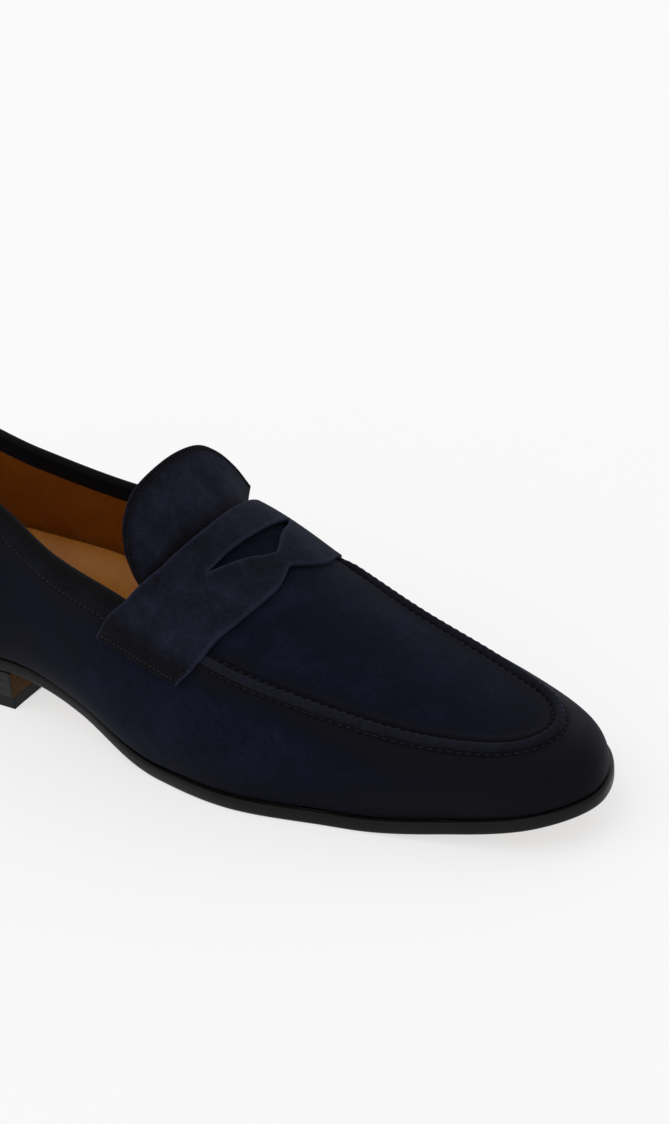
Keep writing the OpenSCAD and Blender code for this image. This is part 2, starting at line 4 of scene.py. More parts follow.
import bpy
import numpy as np
from mathutils import Matrix, Vector
from mathutils.geometry import delaunay_2d_cdt
from mathutils.kdtree import KDTree


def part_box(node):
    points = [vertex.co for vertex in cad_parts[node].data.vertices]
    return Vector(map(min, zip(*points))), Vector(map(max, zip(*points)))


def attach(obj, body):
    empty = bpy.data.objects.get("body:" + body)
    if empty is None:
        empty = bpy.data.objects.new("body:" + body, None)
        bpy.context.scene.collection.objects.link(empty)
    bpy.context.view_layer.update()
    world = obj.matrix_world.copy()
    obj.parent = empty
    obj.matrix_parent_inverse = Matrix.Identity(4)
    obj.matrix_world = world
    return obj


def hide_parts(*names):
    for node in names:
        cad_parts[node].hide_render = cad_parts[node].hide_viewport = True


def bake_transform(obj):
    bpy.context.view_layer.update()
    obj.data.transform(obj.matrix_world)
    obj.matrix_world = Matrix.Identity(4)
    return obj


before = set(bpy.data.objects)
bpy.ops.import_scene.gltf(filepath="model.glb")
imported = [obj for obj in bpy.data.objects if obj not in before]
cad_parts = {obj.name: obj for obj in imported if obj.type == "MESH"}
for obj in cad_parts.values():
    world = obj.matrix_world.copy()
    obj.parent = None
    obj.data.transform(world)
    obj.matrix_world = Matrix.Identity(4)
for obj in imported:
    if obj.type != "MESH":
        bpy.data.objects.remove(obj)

scene = bpy.context.scene
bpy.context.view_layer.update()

# ------------ the last
# Stations run from the heel's back (0) to the toe's tip (10); lengths are in millimetres.
OUT_S = [0, 6, 26, 60, 100, 140, 180, 218, 256, 287, 300]
OUT_M = [0, -19, -30, -30, -32, -43, -49.5, -43.5, -35.5, -25, -4]
OUT_L = [0, 19, 31, 33, 36, 43, 51, 55, 44.5, 24, -4]
LEDGE = [1, 1, 1, 0.5, 0, 1, 2, 2, 2, 1.5, 1.5]
RIM_S = [7, 11, 28, 60, 100, 138, 175, 210, 244, 271, 281]
RIM_M = [0, -13, -20, -15.5, -28, -37, -41, -37, -29, -17, -1]
RIM_L = [0, 13, 22, 21, 28, 38, 37, 31, 26, 16, -1]
RIM_Z = [86, 85, 83, 77.3, 67.3, 62.8, 50, 41, 33.55, 30.5, 31]
LEAN_L = [12, 12, 12, 14, 18, 14, 10, 8, 6, 5, 5]
LEAN_M = [12, 12, 12, 14, 32, 24, 12, 8, 6, 5, 5]
FOOT_REACH = [22, 22, 22, 20, 18, 18, 18, 15, 12, 9, 9]
RIM_FALL = [75, 75, 75, 72, 68, 60, 50, 32, 30, 24, 18]
RIM_REACH = [22, 22, 20, 18, 18, 16, 12, 11, 11, 10, 10]
APRON_RISE = [0, 0, 0, 0, 0, 52, 38, 26, 20, 14, 0]
APRON_REACH = 0.35
UNDER_S = [0, 77, 110, 150, 200, 225, 262, 300]
UNDER_Z = [15, 15, 9.45, 0, 0, 0, 3.99, 10.5]
SOLE_T = 5.0
HEEL_H = 15.0
HEEL_LEN = 77.0
TOP_PIECE_T = 4.5

SUEDE_T = 1.3
LINING_IN = 2.4
LINING_T = 0.9
COLLAR_W = 9.0
COLLAR_ROLL = 2.0
RIM_PACE = 3.3  # the wall's length for each v near the rim, in rim reaches
LIP_W = 3.3
LIP_H = 2.2
STRAP_T = 1.6
STRAP_STAND = 0.35
SOCK_LOW, SOCK_T, SOCK_DISH, HEEL_PAD = 6.3, 2.9, 4.0, 2.6
HEEL_TAPER, BREAST_BOW = 1.3, 1.6
BOARD_GAP = 0.9
# Stitch rows: distance from the seam, and pitch
MOC_OUTER, MOC_INNER, MOC_PITCH = 2.4, 2.3, 3.1
COLLAR_PITCH, FOXING_PITCH, STRAP_PITCH, TONGUE_PITCH = 2.3, 2.1, 1.75, 1.9
TONGUE_MARGIN, TONGUE_GAP = 1.8, 0.6
FOXING_ROWS = (0.07, 0.15)

TONGUE_X = [-30, -29, -26, -16, 3, 19.5, 29.5, 36, 40]
TONGUE_Z = [-6, 1, 9.5, 17.3, 20, 17.8, 11.5, 3, -6]
TONGUE_S = [137, 134.5, 133, 131.3, 130.7, 131, 132.3, 135, 138]
ROOT_M, ROOT_L, ROOT_DROP, ROOT_S, ROOT_BOW = -31, 33, 10.5, 148.8, 8

STRAP_AT = [-1, -0.5, 0, 0.2, 0.35, 0.47, 0.6, 0.73, 0.85, 1, 1.5, 2]
STRAP_BACK = [4.78, 4.88, 5.03, 5.22, 5.28, 5.3, 5.28, 5.24, 5.18, 5.05, 4.9, 4.8]
STRAP_FRONT = [5.7, 5.83, 5.92, 6.04, 6.1, 6.1, 6, 6.1, 6.09, 5.98, 5.85, 5.72]
STRAP_DROP = 0.3
SLOT = [(0.3, 5.58), (0.45, 5.585), (0.6, 5.59), (0.75, 5.56), (0.89, 5.5), (0.82, 5.59), (0.73, 5.67),
        (0.66, 5.76), (0.6, 5.83), (0.54, 5.8), (0.47, 5.73), (0.38, 5.655)]


def smooth(x, lo, hi):
    """0 below lo, 1 above hi, and an even turn between."""
    q = np.clip((np.asarray(x, float) - lo) / (hi - lo), 0, 1)
    return q * q * (3 - 2 * q)


def bump_at(x, centre, width):
    return np.exp(-(((x - centre) / width) ** 2))


def quarter(gap, width):
    """How far a quarter round of that width falls back, as a share: 1 at the edge, 0 inside."""
    return 1 - np.sqrt(np.clip(1 - (1 - np.clip(gap / width, 0, 1)) ** 2, 0, 1))


def stretches(*parts):
    """Rising values over several stretches, each (from, to, count)."""
    return np.unique(np.concatenate([np.linspace(*part) for part in parts]))


def unit(v):
    return v / np.maximum(np.linalg.norm(v, axis=-1, keepdims=True), 1e-12)


def cubic(a, b, c, d, q):
    return 0.5 * (2 * b + (c - a) * q + (2 * a - 5 * b + 4 * c - d) * q**2 + (3 * b - a - 3 * c + d) * q**3)


def read(table, t, before, after):
    """A smooth curve through a table's values, given the values beyond its two ends."""
    rows = np.concatenate([[before], np.asarray(table, float), [after]])
    i = np.clip(np.floor(t).astype(int), 0, len(table) - 2)
    q = t - i
    return cubic(rows[i], rows[i + 1], rows[i + 2], rows[i + 3], q)


def even(table, t):
    return read(table, t, table[1], table[-2])


def straight_on(table, t):
    return read(table, t, 2 * table[0] - table[1], 2 * table[-1] - table[-2])


def bezier(a, b, c, d, q):
    q = np.asarray(q)[..., None]
    return a * (1 - q) ** 3 + 3 * b * q * (1 - q) ** 2 + 3 * c * q * q * (1 - q) + d * q**3


def underside(s):
    """Height of the outsole's underside at a distance from the heel's back."""
    s = np.clip(s, 0, OUT_S[-1])
    xs, ys = np.array(UNDER_S, float), np.array(UNDER_Z, float)
    slope = np.diff(ys) / np.diff(xs)
    tangent = np.zeros(len(xs))
    tangent[-1] = slope[-1]
    for k in range(1, len(xs) - 1):
        if slope[k - 1] * slope[k] > 0:
            tangent[k] = 2 * slope[k - 1] * slope[k] / (slope[k - 1] + slope[k])
    i = np.clip(np.searchsorted(xs, s, side="right") - 1, 0, len(xs) - 2)
    h = xs[i + 1] - xs[i]
    q = (s - xs[i]) / h
    return ((2 * q**3 - 3 * q**2 + 1) * ys[i] + (q**3 - 2 * q**2 + q) * h * tangent[i]
            + (3 * q**2 - 2 * q**3) * ys[i + 1] + (q**3 - q**2) * h * tangent[i + 1])


def point(x, y, z):
    return np.stack(np.broadcast_arrays(x, y, z), -1).astype(float)


def around(u):
    return np.mod(u, 20)


def station(u):
    a = around(u)
    return np.where(a <= 10, a, 20 - a)


def is_medial(u):
    return around(u) <= 10


def half_width(medial, lateral, u):
    """Side curve that carries on as the other side's at both ends."""
    t = station(u)
    near = read(medial, t, lateral[1], lateral[-2])
    far = read(lateral, t, medial[1], medial[-2])
    return np.where(is_medial(u), near, far)


def outline(u):
    return point(half_width(OUT_M, OUT_L, u), -even(OUT_S, station(u)), 0)


def outward(u):
    d = unit(outline(u + 0.01) - outline(u - 0.01))
    return point(d[..., 1], -d[..., 0], 0)


def inset(u, depth):
    return outline(u) - outward(u) * np.asarray(depth, float)[..., None]


def foot(u):
    p = inset(u, even(LEDGE, station(u)))
    p[..., 2] = underside(-p[..., 1]) + SOLE_T
    return p


def rim(u):
    t = station(u)
    return point(half_width(RIM_M, RIM_L, u), -even(RIM_S, t), even(RIM_Z, t))


def wall(u, v):
    """Outer face of the upper's wall, v = 0 at its foot and 1 at the rim."""
    u, v = np.broadcast_arrays(np.asarray(u, float), np.asarray(v, float))
    t, n, a, d = station(u), outward(u), foot(u), rim(u)
    lean = np.radians(np.where(is_medial(u), even(LEAN_M, t), even(LEAN_L, t)))
    fall = np.radians(even(RIM_FALL, t))
    b = a + even(FOOT_REACH, t)[..., None] * (n * np.sin(lean)[..., None] + point(0, 0, np.cos(lean)))
    c = d + even(RIM_REACH, t)[..., None] * (n * np.cos(fall)[..., None] - point(0, 0, np.sin(fall)))
    return bezier(a, b, c, d, v)


def wall_normal(u, v):
    return unit(np.cross(wall(u + 0.02, v) - wall(u - 0.02, v), wall(u, v + 0.01) - wall(u, v - 0.01)))


def top(t, w):
    """Outer face of the apron, w = 0 at the medial rim and 1 at the lateral one."""
    t, w = np.broadcast_arrays(np.asarray(t, float), np.asarray(w, float))
    a, d = rim(t), rim(20 - t)
    span = np.linalg.norm(d - a, axis=-1)[..., None]
    e = (d - a) / np.maximum(span, 1e-9)
    rise = np.radians(even(APRON_RISE, np.minimum(t, 10)))[..., None]
    up = point(0, 0, 1)
    b = a + APRON_REACH * span * (np.cos(rise) * e + np.sin(rise) * up)
    c = d + APRON_REACH * span * (np.sin(rise) * up - np.cos(rise) * e)
    return bezier(a, b, c, d, w)


def top_normal(t, w):
    t = np.minimum(t, 9.95)
    return unit(np.cross(top(t + 0.02, w) - top(t - 0.02, w), top(t, w + 0.01) - top(t, w - 0.01)))


HINGE = top(np.array(5.28), np.array(0.5))


def tongue_root(w):
    y = TONGUE_GAP - ROOT_S + ROOT_BOW * (2 * w - 1) ** 2
    low = HINGE[2] - ROOT_DROP
    a, d, up = point(ROOT_M, y, low), point(ROOT_L, y, low), point(0, 0, ROOT_DROP / 0.75)
    return bezier(a, a + 0.13 * (d - a) + up, d - 0.13 * (d - a) + up, d, w)


def tongue_edge(w):
    return point(straight_on(TONGUE_X, 8 * w), TONGUE_GAP - straight_on(TONGUE_S, 8 * w),
                 HINGE[2] + straight_on(TONGUE_Z, 8 * w))


def tongue_face(k, w):
    """The tongue's outer face, k = 0 at its root and 1 at its free edge."""
    k, w = np.broadcast_arrays(np.asarray(k, float), np.asarray(w, float))
    root = tongue_root(w)
    return root + (tongue_edge(w) - root) * k[..., None]


def tongue_normal(k, w):
    return unit(np.cross(tongue_face(k, w + 0.01) - tongue_face(k, w - 0.01),
                         tongue_face(k + 0.01, w) - tongue_face(k - 0.01, w)))


def drop(u, mm):
    """The v that is mm below the rim."""
    return 1 - mm / (RIM_PACE * even(RIM_REACH, station(u)))


def foxing_edge(p):
    return 2.6 - 1.2 * p + 0.5 * p * p


# The last's own axes to the frame's: the outsole's box gives the two shifts
FINE_U = np.linspace(0, 20, 1601)[:-1]
SHIFT = np.array([
    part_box("outsole")[0].x * 1000 - outline(FINE_U)[:, 0].min(),
    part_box("outsole")[1].y * 1000 - outline(FINE_U)[:, 1].max(),
    0,
])


def place(p):
    """Millimetres on the last to metres in the frame."""
    return (np.asarray(p) + SHIFT) / 1000


# ------------ mesh helpers
def add_mesh(name, points, faces, material, marks=None, body="shoe", replaces=(), slot=None):
    """A smooth-shaded piece from points in millimetres; marks are named values, one a point."""
    mesh = bpy.data.meshes.new(name)
    mesh.from_pydata(place(points).tolist(), [], [list(map(int, f)) for f in faces])
    mesh.validate()
    mesh.update()
    mesh.polygons.foreach_set("use_smooth", [True] * len(mesh.polygons))
    for mark, values in (marks or {}).items():
        layer = mesh.attributes.new(mark, "FLOAT", "POINT")
        layer.data.foreach_set("value", np.asarray(values, np.float32).ravel())
    mesh.materials.append(material)
    piece = bpy.data.objects.new(name, mesh)
    scene.collection.objects.link(piece)
    if body:
        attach(piece, body)
    if replaces:
        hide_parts(*replaces)
    return piece


def shell_faces(rows, cols):
    """Faces of a closed shell: an outer grid of points, then an inner one of the same size."""
    far = rows * cols
    i, j = np.meshgrid(np.arange(rows - 1), np.arange(cols - 1), indexing="ij")
    a = (i * cols + j).ravel()
    outer = np.stack([a, a + cols, a + cols + 1, a + 1], 1)
    inner = np.stack([a, a + 1, a + cols + 1, a + cols], 1) + far
    faces = [outer, inner]
    for edge, flip in ((np.arange(rows) * cols, True), (np.arange(rows) * cols + cols - 1, False),
                       (np.arange(cols), False), (np.arange(cols) + (rows - 1) * cols, True)):
        p, q = edge[:-1], edge[1:]
        side = np.stack([p, q, q + far, p + far], 1)
        faces.append(side[:, ::-1] if flip else side)
    return np.concatenate(faces)


def shell(name, outer, inner, material, marks=None, **how):
    rows, cols = outer.shape[:2]
    points = np.concatenate([outer.reshape(-1, 3), inner.reshape(-1, 3)])
    both = {k: np.concatenate([np.ravel(v[0]), np.ravel(v[1])]) for k, v in (marks or {}).items()}
    return add_mesh(name, points, shell_faces(rows, cols), material, both, **how)


def suede_shell(name, base, normal, height, burnish_and_painted_light, material, slot="navy_suede", **how):
    """A piece of suede on a base surface, its face height above it."""
    return shell(name, base + normal * height[..., None], base - normal * SUEDE_T, material,
                 {"burnish_and_painted_light": (burnish_and_painted_light, burnish_and_painted_light)}, replaces=(name,), slot=slot, **how)


def loft_faces(rows, cols):
    """Faces of rings joined in a row, with flat end caps."""
    faces = []
    for i in range(rows - 1):
        for j in range(cols):
            k = (j + 1) % cols
            faces.append([i * cols + j, i * cols + k, (i + 1) * cols + k, (i + 1) * cols + j])
    faces.append(list(range(cols))[::-1])
    faces.append([(rows - 1) * cols + j for j in range(cols)])
    return faces


def distance(points, curve):
    """Distance from each point to a dense row of points."""
    tree = KDTree(len(curve))
    for i, p in enumerate(curve):
        tree.insert(p, i)
    tree.balance()
    flat = np.reshape(points, (-1, 3))
    return np.array([tree.find(p)[2] for p in flat]).reshape(np.shape(points)[:-1])


def waves(p, size, seed):
    """A soft uneven field in -1..1 from a few crossed sines."""
    rng = np.random.default_rng(seed)
    total = np.zeros(np.shape(p)[:-1])
    for _ in range(6):
        way = rng.normal(size=3)
        total += np.sin(p @ (way / size) + rng.uniform(0, 6.28))
    return total / 6


def run_along(path):
    """Length run from the path's start to each of its points."""
    return np.concatenate([[0], np.cumsum(np.linalg.norm(np.diff(path, axis=0), axis=1))])


def stitch_row(path, normals, pitch, fill=0.66):
    """Ends and normals of evenly spaced stitches along a path."""
    run = run_along(path)
    count = int(run[-1] // pitch)
    step = run[-1] / count
    rows = []
    for n in range(count):
        ends = [np.array([np.interp(run_at, run, path[:, k]) for k in range(3)])
                for run_at in ((n + 0.5 - fill / 2) * step, (n + 0.5 + fill / 2) * step)]
        normal = unit(np.array([np.interp((n + 0.5) * step, run, normals[:, k]) for k in range(3)]))
        rows.append((ends[0], ends[1], normal))
    return rows


def stitch_ends(rows):
    return np.array([end for a, b, _ in rows for end in (a, b)])


def add_stitches(name, rows, radius, lift, material, body="shoe"):
    """Each stitch is a short twisted strand that rises out of the leather and goes back in."""
    sides, rings = 8, 9
    points, faces = [], []
    for a, b, normal in rows:
        along = unit(b - a)
        side = unit(np.cross(along, normal))
        base = len(points)
        for i in range(rings):
            q = i / (rings - 1)
            arch = math.sin(math.pi * q)
            centre = a + (b - a) * q + normal * (lift * arch - radius * 0.7 * (1 - arch))
            thick = radius * (0.72 + 0.28 * arch) * (1 + 0.07 * math.cos(i * 2.4))
            for j in range(sides):
                turn = 2 * math.pi * j / sides
                points.append(centre + side * math.cos(turn) * thick + normal * math.sin(turn) * thick)
        for face in loft_faces(rings, sides):
            faces.append([base + k for k in face])
    return add_mesh(name, np.array(points), faces, material, body=body, replaces=(name,), slot="thread")


# ------------ materials
def new_material(name):
    material = bpy.data.materials.new(name)
    material.use_nodes = True
    tree = material.node_tree
    return material, tree, tree.nodes["Principled BSDF"]


def node(tree, kind, inputs=None, **settings):
    made = tree.nodes.new(kind)
    for key, value in settings.items():
        setattr(made, key, value)
    for key, value in (inputs or {}).items():
        socket = made.inputs[key]
        if isinstance(value, bpy.types.NodeSocket):
            tree.links.new(value, socket)
        else:
            socket.default_value = value
    return made


def scaled(tree, value, times, plus):
    made = maths(tree, "MULTIPLY_ADD", value, times)
    made.node.inputs[2].default_value = plus
    return made


def mixed(tree, a, b, share):
    return maths(tree, "ADD", maths(tree, "MULTIPLY", a, share), maths(tree, "MULTIPLY", b, 1 - share))


def place_coords(tree):
    return node(tree, "ShaderNodeTexCoord").outputs["Object"]


def noise(tree, coords, size, detail=3.0, rough=0.55, distortion=0.0):
    """Noise whose features are about size metres across, in 0..1."""
    return node(tree, "ShaderNodeTexNoise", {"Vector": coords, "Scale": 1 / size, "Detail": detail,
                                             "Roughness": rough, "Distortion": distortion}).outputs["Fac"]


def maths(tree, operation, a, b=0.0, clamp=False):
    made = node(tree, "ShaderNodeMath", operation=operation, use_clamp=clamp)
    for socket, value in zip(made.inputs, (a, b)):
        if isinstance(value, bpy.types.NodeSocket):
            tree.links.new(value, socket)
        else:
            socket.default_value = value
    return made.outputs[0]


def ramp(tree, value, stops):
    made = node(tree, "ShaderNodeValToRGB", {"Fac": value})
    elements = made.color_ramp.elements
    while len(elements) < len(stops):
        elements.new(0.5)
    for element, (at, colour) in zip(elements, stops):
        element.position = at
        element.color = (*colour, 1)
    return made.outputs["Color"]


def mark(tree, name):
    return node(tree, "ShaderNodeAttribute", attribute_name=name).outputs["Fac"]


def bump(tree, height, strength, distance_m, onto=None):
    inputs = {"Height": height, "Strength": strength, "Distance": distance_m}
    if onto is not None:
        inputs["Normal"] = onto
    return node(tree, "ShaderNodeBump", inputs).outputs["Normal"]


def around_colour(tree, value, colour, low, high, stops):
    """The colour, darker by low and lighter by high, as value goes between two stops."""
    shades = [tuple(share * c for c in colour) for share in (low, high)]
    return ramp(tree, value, list(zip(stops, shades)))


def set_shader(shader, **values):
    for key, value in values.items():
        shader.inputs[key.replace("_", " ")].default_value = value


def suede(name, dark, middle, light, cloudy):
    """Napped suede: brushed clouds, a mottle, fine fibres, and darker, glossier suede where the mark is high,
    paler where it is below zero; the mark holds real burnish, painted shade and painted highlights.
    """
    material, tree, shader = new_material(name)
    coords = place_coords(tree)
    clouds = noise(tree, coords, 0.026, 3, 0.5, 0.6)
    blotches = noise(tree, coords, 0.009, 3, 0.6, 0.8)
    mottle = noise(tree, coords, 0.0032, 4, 0.65, 0.4)
    nap = noise(tree, coords, 0.0009, 3, 0.7)
    burnish_and_painted_light = mark(tree, "burnish_and_painted_light")
    level = scaled(tree, clouds, 0.8, 0.09)
    for part, share in ((blotches, cloudy), (mottle, 0.7 * cloudy), (nap, 0.85)):
        level = maths(tree, "ADD", level, maths(tree, "MULTIPLY", maths(tree, "SUBTRACT", part, 0.5), share))
    level = maths(tree, "SUBTRACT", level, maths(tree, "MULTIPLY", burnish_and_painted_light, 0.62), clamp=True)
    colour = ramp(tree, level, [(0.0, dark), (0.42, middle), (1.0, light)])
    tree.links.new(colour, shader.inputs["Base Color"])
    tree.links.new(scaled(tree, burnish_and_painted_light, -0.28, 0.96), shader.inputs["Roughness"])
    fibres = noise(tree, coords, 0.00035, 2, 0.8)
    first = bump(tree, mottle, 0.25, 0.0004)
    second = bump(tree, nap, 0.6, 0.0003, first)
    tree.links.new(bump(tree, fibres, 0.35, 0.00012, second), shader.inputs["Normal"])
    set_shader(shader, Specular_IOR_Level=0.05, Sheen_Weight=0.035, Sheen_Roughness=0.4)
    shader.inputs["Sheen Tint"].default_value = (0.62, 0.70, 1.0, 1)
    return material


def leather(name, dark, light, roughness=0.5, grain=0.0011, depth=0.00010, coat=0.0,
            pale_edge=None, spec=0.4):
    """Smooth tanned leather with fine grain, cloudy colour and soft wear."""
    material, tree, shader = new_material(name)
    coords = place_coords(tree)
    clouds = noise(tree, coords, 0.016, 4, 0.6, 0.8)
    specks = noise(tree, coords, 0.0016, 3, 0.6)
    level = mixed(tree, clouds, specks, 0.7)
    colour = ramp(tree, level, [(0.28, dark), (0.72, light)])
    if pale_edge:
        mix = node(tree, "ShaderNodeMix", {"Factor": mark(tree, "cut")}, data_type="RGBA")
        tree.links.new(colour, mix.inputs[6])
        mix.inputs[7].default_value = (*pale_edge, 1)
        colour = mix.outputs[2]
    tree.links.new(colour, shader.inputs["Base Color"])
    cells = node(tree, "ShaderNodeTexVoronoi", {"Vector": coords, "Scale": 1 / grain}).outputs["Distance"]
    first = bump(tree, cells, 0.5, depth)
    tree.links.new(bump(tree, specks, 0.3, 0.0002, first), shader.inputs["Normal"])
    tree.links.new(scaled(tree, clouds, 0.18, roughness - 0.09), shader.inputs["Roughness"])
    set_shader(shader, Specular_IOR_Level=spec, Coat_Weight=coat, Coat_Roughness=0.35)
    return material


def waxed_edge(name, dark, light, roughness):
    """Dyed and waxed sole edge: fine lines along it, rubbed lighter in places."""
    material, tree, shader = new_material(name)
    coords = place_coords(tree)
    stretched = node(tree, "ShaderNodeMapping", {"Vector": coords, "Scale": (0.12, 0.12, 1.6)}).outputs[0]
    lines = noise(tree, stretched, 0.0006, 4, 0.65)
    clouds = noise(tree, coords, 0.012, 3, 0.6, 0.5)
    level = mixed(tree, clouds, lines, 0.6)
    tree.links.new(ramp(tree, level, [(0.3, dark), (0.7, light)]), shader.inputs["Base Color"])
    tree.links.new(scaled(tree, level, 0.25, roughness - 0.12), shader.inputs["Roughness"])
    tree.links.new(bump(tree, lines, 0.3, 0.00012), shader.inputs["Normal"])
    set_shader(shader, Specular_IOR_Level=0.13)
    return material


def stacked(name, dark, light):
    """Natural leather lifts seen from the breast: brown layers with rough fibres."""
    material, tree, shader = new_material(name)
    coords = place_coords(tree)
    stretched = node(tree, "ShaderNodeMapping", {"Vector": coords, "Scale": (0.15, 0.15, 1.0)}).outputs[0]
    layers = noise(tree, stretched, 0.0009, 4, 0.6)
    clouds = noise(tree, coords, 0.008, 3, 0.6)
    level = mixed(tree, layers, clouds, 0.6)
    tree.links.new(ramp(tree, level, [(0.3, dark), (0.7, light)]), shader.inputs["Base Color"])
    tree.links.new(bump(tree, layers, 0.6, 0.0003), shader.inputs["Normal"])
    set_shader(shader, Roughness=0.7, Specular_IOR_Level=0.1)
    return material


def rubber(name, colour):
    material, tree, shader = new_material(name)
    coords = place_coords(tree)
    fine = noise(tree, coords, 0.0009, 3, 0.7)
    tree.links.new(around_colour(tree, fine, colour, 0.8, 1.25, (0.3, 0.7)), shader.inputs["Base Color"])
    tree.links.new(bump(tree, fine, 0.4, 0.0001), shader.inputs["Normal"])
    set_shader(shader, Roughness=0.6, Specular_IOR_Level=0.15)
    return material


def thread(name, colour):
    material, tree, shader = new_material(name)
    coords = place_coords(tree)
    twist = node(tree, "ShaderNodeTexWave", {"Vector": coords, "Scale": 1400.0, "Distortion": 2.0},
                 bands_direction="DIAGONAL").outputs["Fac"]
    tree.links.new(around_colour(tree, twist, colour, 0.6, 1.2, (0.2, 0.8)), shader.inputs["Base Color"])
    tree.links.new(bump(tree, twist, 0.5, 0.0001), shader.inputs["Normal"])
    set_shader(shader, Roughness=0.7, Specular_IOR_Level=0.12)
    return material


def metal(name, colour, roughness):
    material, tree, shader = new_material(name)
    worn = noise(tree, place_coords(tree), 0.002, 4, 0.6)
    tree.links.new(around_colour(tree, worn, colour, 0.75, 1, (0.3, 0.7)), shader.inputs["Base Color"])
    tree.links.new(bump(tree, worn, 0.2, 0.0001), shader.inputs["Normal"])
    set_shader(shader, Metallic=1.0, Roughness=roughness)
    return material


NAVY = suede("navy_suede", (0.0050, 0.0046, 0.0067), (0.0036, 0.0043, 0.0106), (0.0098, 0.0122, 0.0290), 0.4)
PALE = suede("pale_suede", (0.0034, 0.0032, 0.0046), (0.0078, 0.0082, 0.0156), (0.0185, 0.0195, 0.0370), 0.75)
DARK = suede("dark_suede", (0.0026, 0.0023, 0.0027), (0.0046, 0.0050, 0.0080), (0.0095, 0.0105, 0.0180), 0.6)
LIP = suede("lip_suede", (0.0052, 0.0048, 0.0066), (0.0088, 0.0090, 0.0145), (0.0160, 0.0170, 0.0280), 0.5)
TAN = leather("tan_lining", (0.19, 0.050, 0.003), (0.31, 0.092, 0.007), 0.5,
              pale_edge=(0.26, 0.15, 0.07), spec=0.15)
SOCK = leather("tan_sock", (0.38, 0.135, 0.020), (0.52, 0.215, 0.042), 0.42,
               pale_edge=(0.42, 0.27, 0.13), spec=0.2)
SOLE_EDGE = waxed_edge("sole_edge", (0.0030, 0.0030, 0.0032), (0.0070, 0.0070, 0.0074), 0.42)
HEEL_EDGE = waxed_edge("heel_edge", (0.0080, 0.0080, 0.0084), (0.0150, 0.0150, 0.0155), 0.36)
BREAST = stacked("heel_breast", (0.020, 0.008, 0.0015), (0.070, 0.030, 0.006))
TREAD = leather("sole_tread", (0.10, 0.05, 0.022), (0.17, 0.092, 0.045), 0.5, coat=0.1)
RUBBER = rubber("top_piece_rubber", (0.007, 0.007, 0.0075))
THREAD = thread("navy_thread", (0.028, 0.028, 0.038))
THREAD_MOC = thread("moc_thread", (0.017, 0.017, 0.025))
THREAD_DARK = thread("dark_thread", (0.009, 0.009, 0.013))

# ------------ seams and stitches on the last
LIP_FROM = 6.0
seam_u = np.linspace(5.75, 14.25, 900)
seam_line = rim(seam_u)
moc_u = np.linspace(LIP_FROM, 20 - LIP_FROM, 700)


def rim_frame(u):
    """At the rim: down the wall, in over the apron, across, and up."""
    along = unit(rim(u + 0.02) - rim(u - 0.02))
    flat = unit(point(along[..., 1], -along[..., 0], 0))
    fall = np.radians(even(RIM_FALL, station(u)))[..., None]
    rise = np.radians(np.maximum(even(APRON_RISE, station(u)), 9))[..., None]
    down = flat * np.cos(fall) - point(0, 0, 1) * np.sin(fall)
    inward = -flat * np.cos(rise) + point(0, 0, 1) * np.sin(rise)
    across = unit(inward - down)
    up = unit(np.cross(across, along))
    up = np.where(up[..., 2:] < 0, -up, up)
    return down, inward, across, up


_, inward, _, up = rim_frame(moc_u)
outer_v = 1 - MOC_OUTER / (3 * even(RIM_REACH, station(moc_u)))
outer_path = wall(moc_u, outer_v)
outer_n = wall_normal(moc_u, outer_v)
outer_rows = stitch_row(outer_path - outer_n * 0.3, outer_n, MOC_PITCH, 0.55)
inner_path = rim(moc_u) + inward * MOC_INNER - up * 0.12
inner_rows = stitch_row(inner_path, up, MOC_PITCH, 0.6)
holes = stitch_ends(outer_rows + inner_rows)

collar_u = np.linspace(-5.0, 5.0, 600)
collar_v = drop(collar_u, COLLAR_W + 0.7)
collar_path, collar_n = wall(collar_u, collar_v), wall_normal(collar_u, collar_v)
collar_rows = stitch_row(collar_path + collar_n * 0.05, collar_n, COLLAR_PITCH, 0.62)
collar_line = wall(collar_u, drop(collar_u, COLLAR_W))

foxing_rows = []
for side in (-1, 1):
    p = np.linspace(0.03, 0.98, 120)
    for back in FOXING_ROWS:
        u = side * (foxing_edge(p) - back)
        v = 0.04 + p * (drop(u, COLLAR_W + 1.2) - 0.04)
        path, normal = wall(u, v), wall_normal(u, v)
        foxing_rows += stitch_row(path + normal * 0.6, normal, FOXING_PITCH, 0.6)
foot_line = foot(FINE_U)


def wall_darkening(p):
    """Darkening of the walls: burnish at the toe and along the moc seam; darker also near the foot, below the
    collar line and towards the heel.
    """
    toe = smooth(-p[..., 1], 205, 268)
    low = 1 - smooth(distance(p, foot_line), 1, 15)
    seam = 1 - smooth(distance(p, seam_line), 2, 13)
    collar = 1 - smooth(distance(p, collar_line), 0.5, 9)
    heel = 0.3 * (1 - smooth(-p[..., 1], 90, 150))
    return np.clip(0.62 * toe + 0.5 * low + 0.7 * seam + 0.4 * collar + heel, 0, 1)


# ------------ vamp
def groove_field(p, holes_near):
    """The leather's dip along the stitches, deepest where the thread goes in."""
    return 0.30 * bump_at(distance(p, holes_near), 0, 0.75)


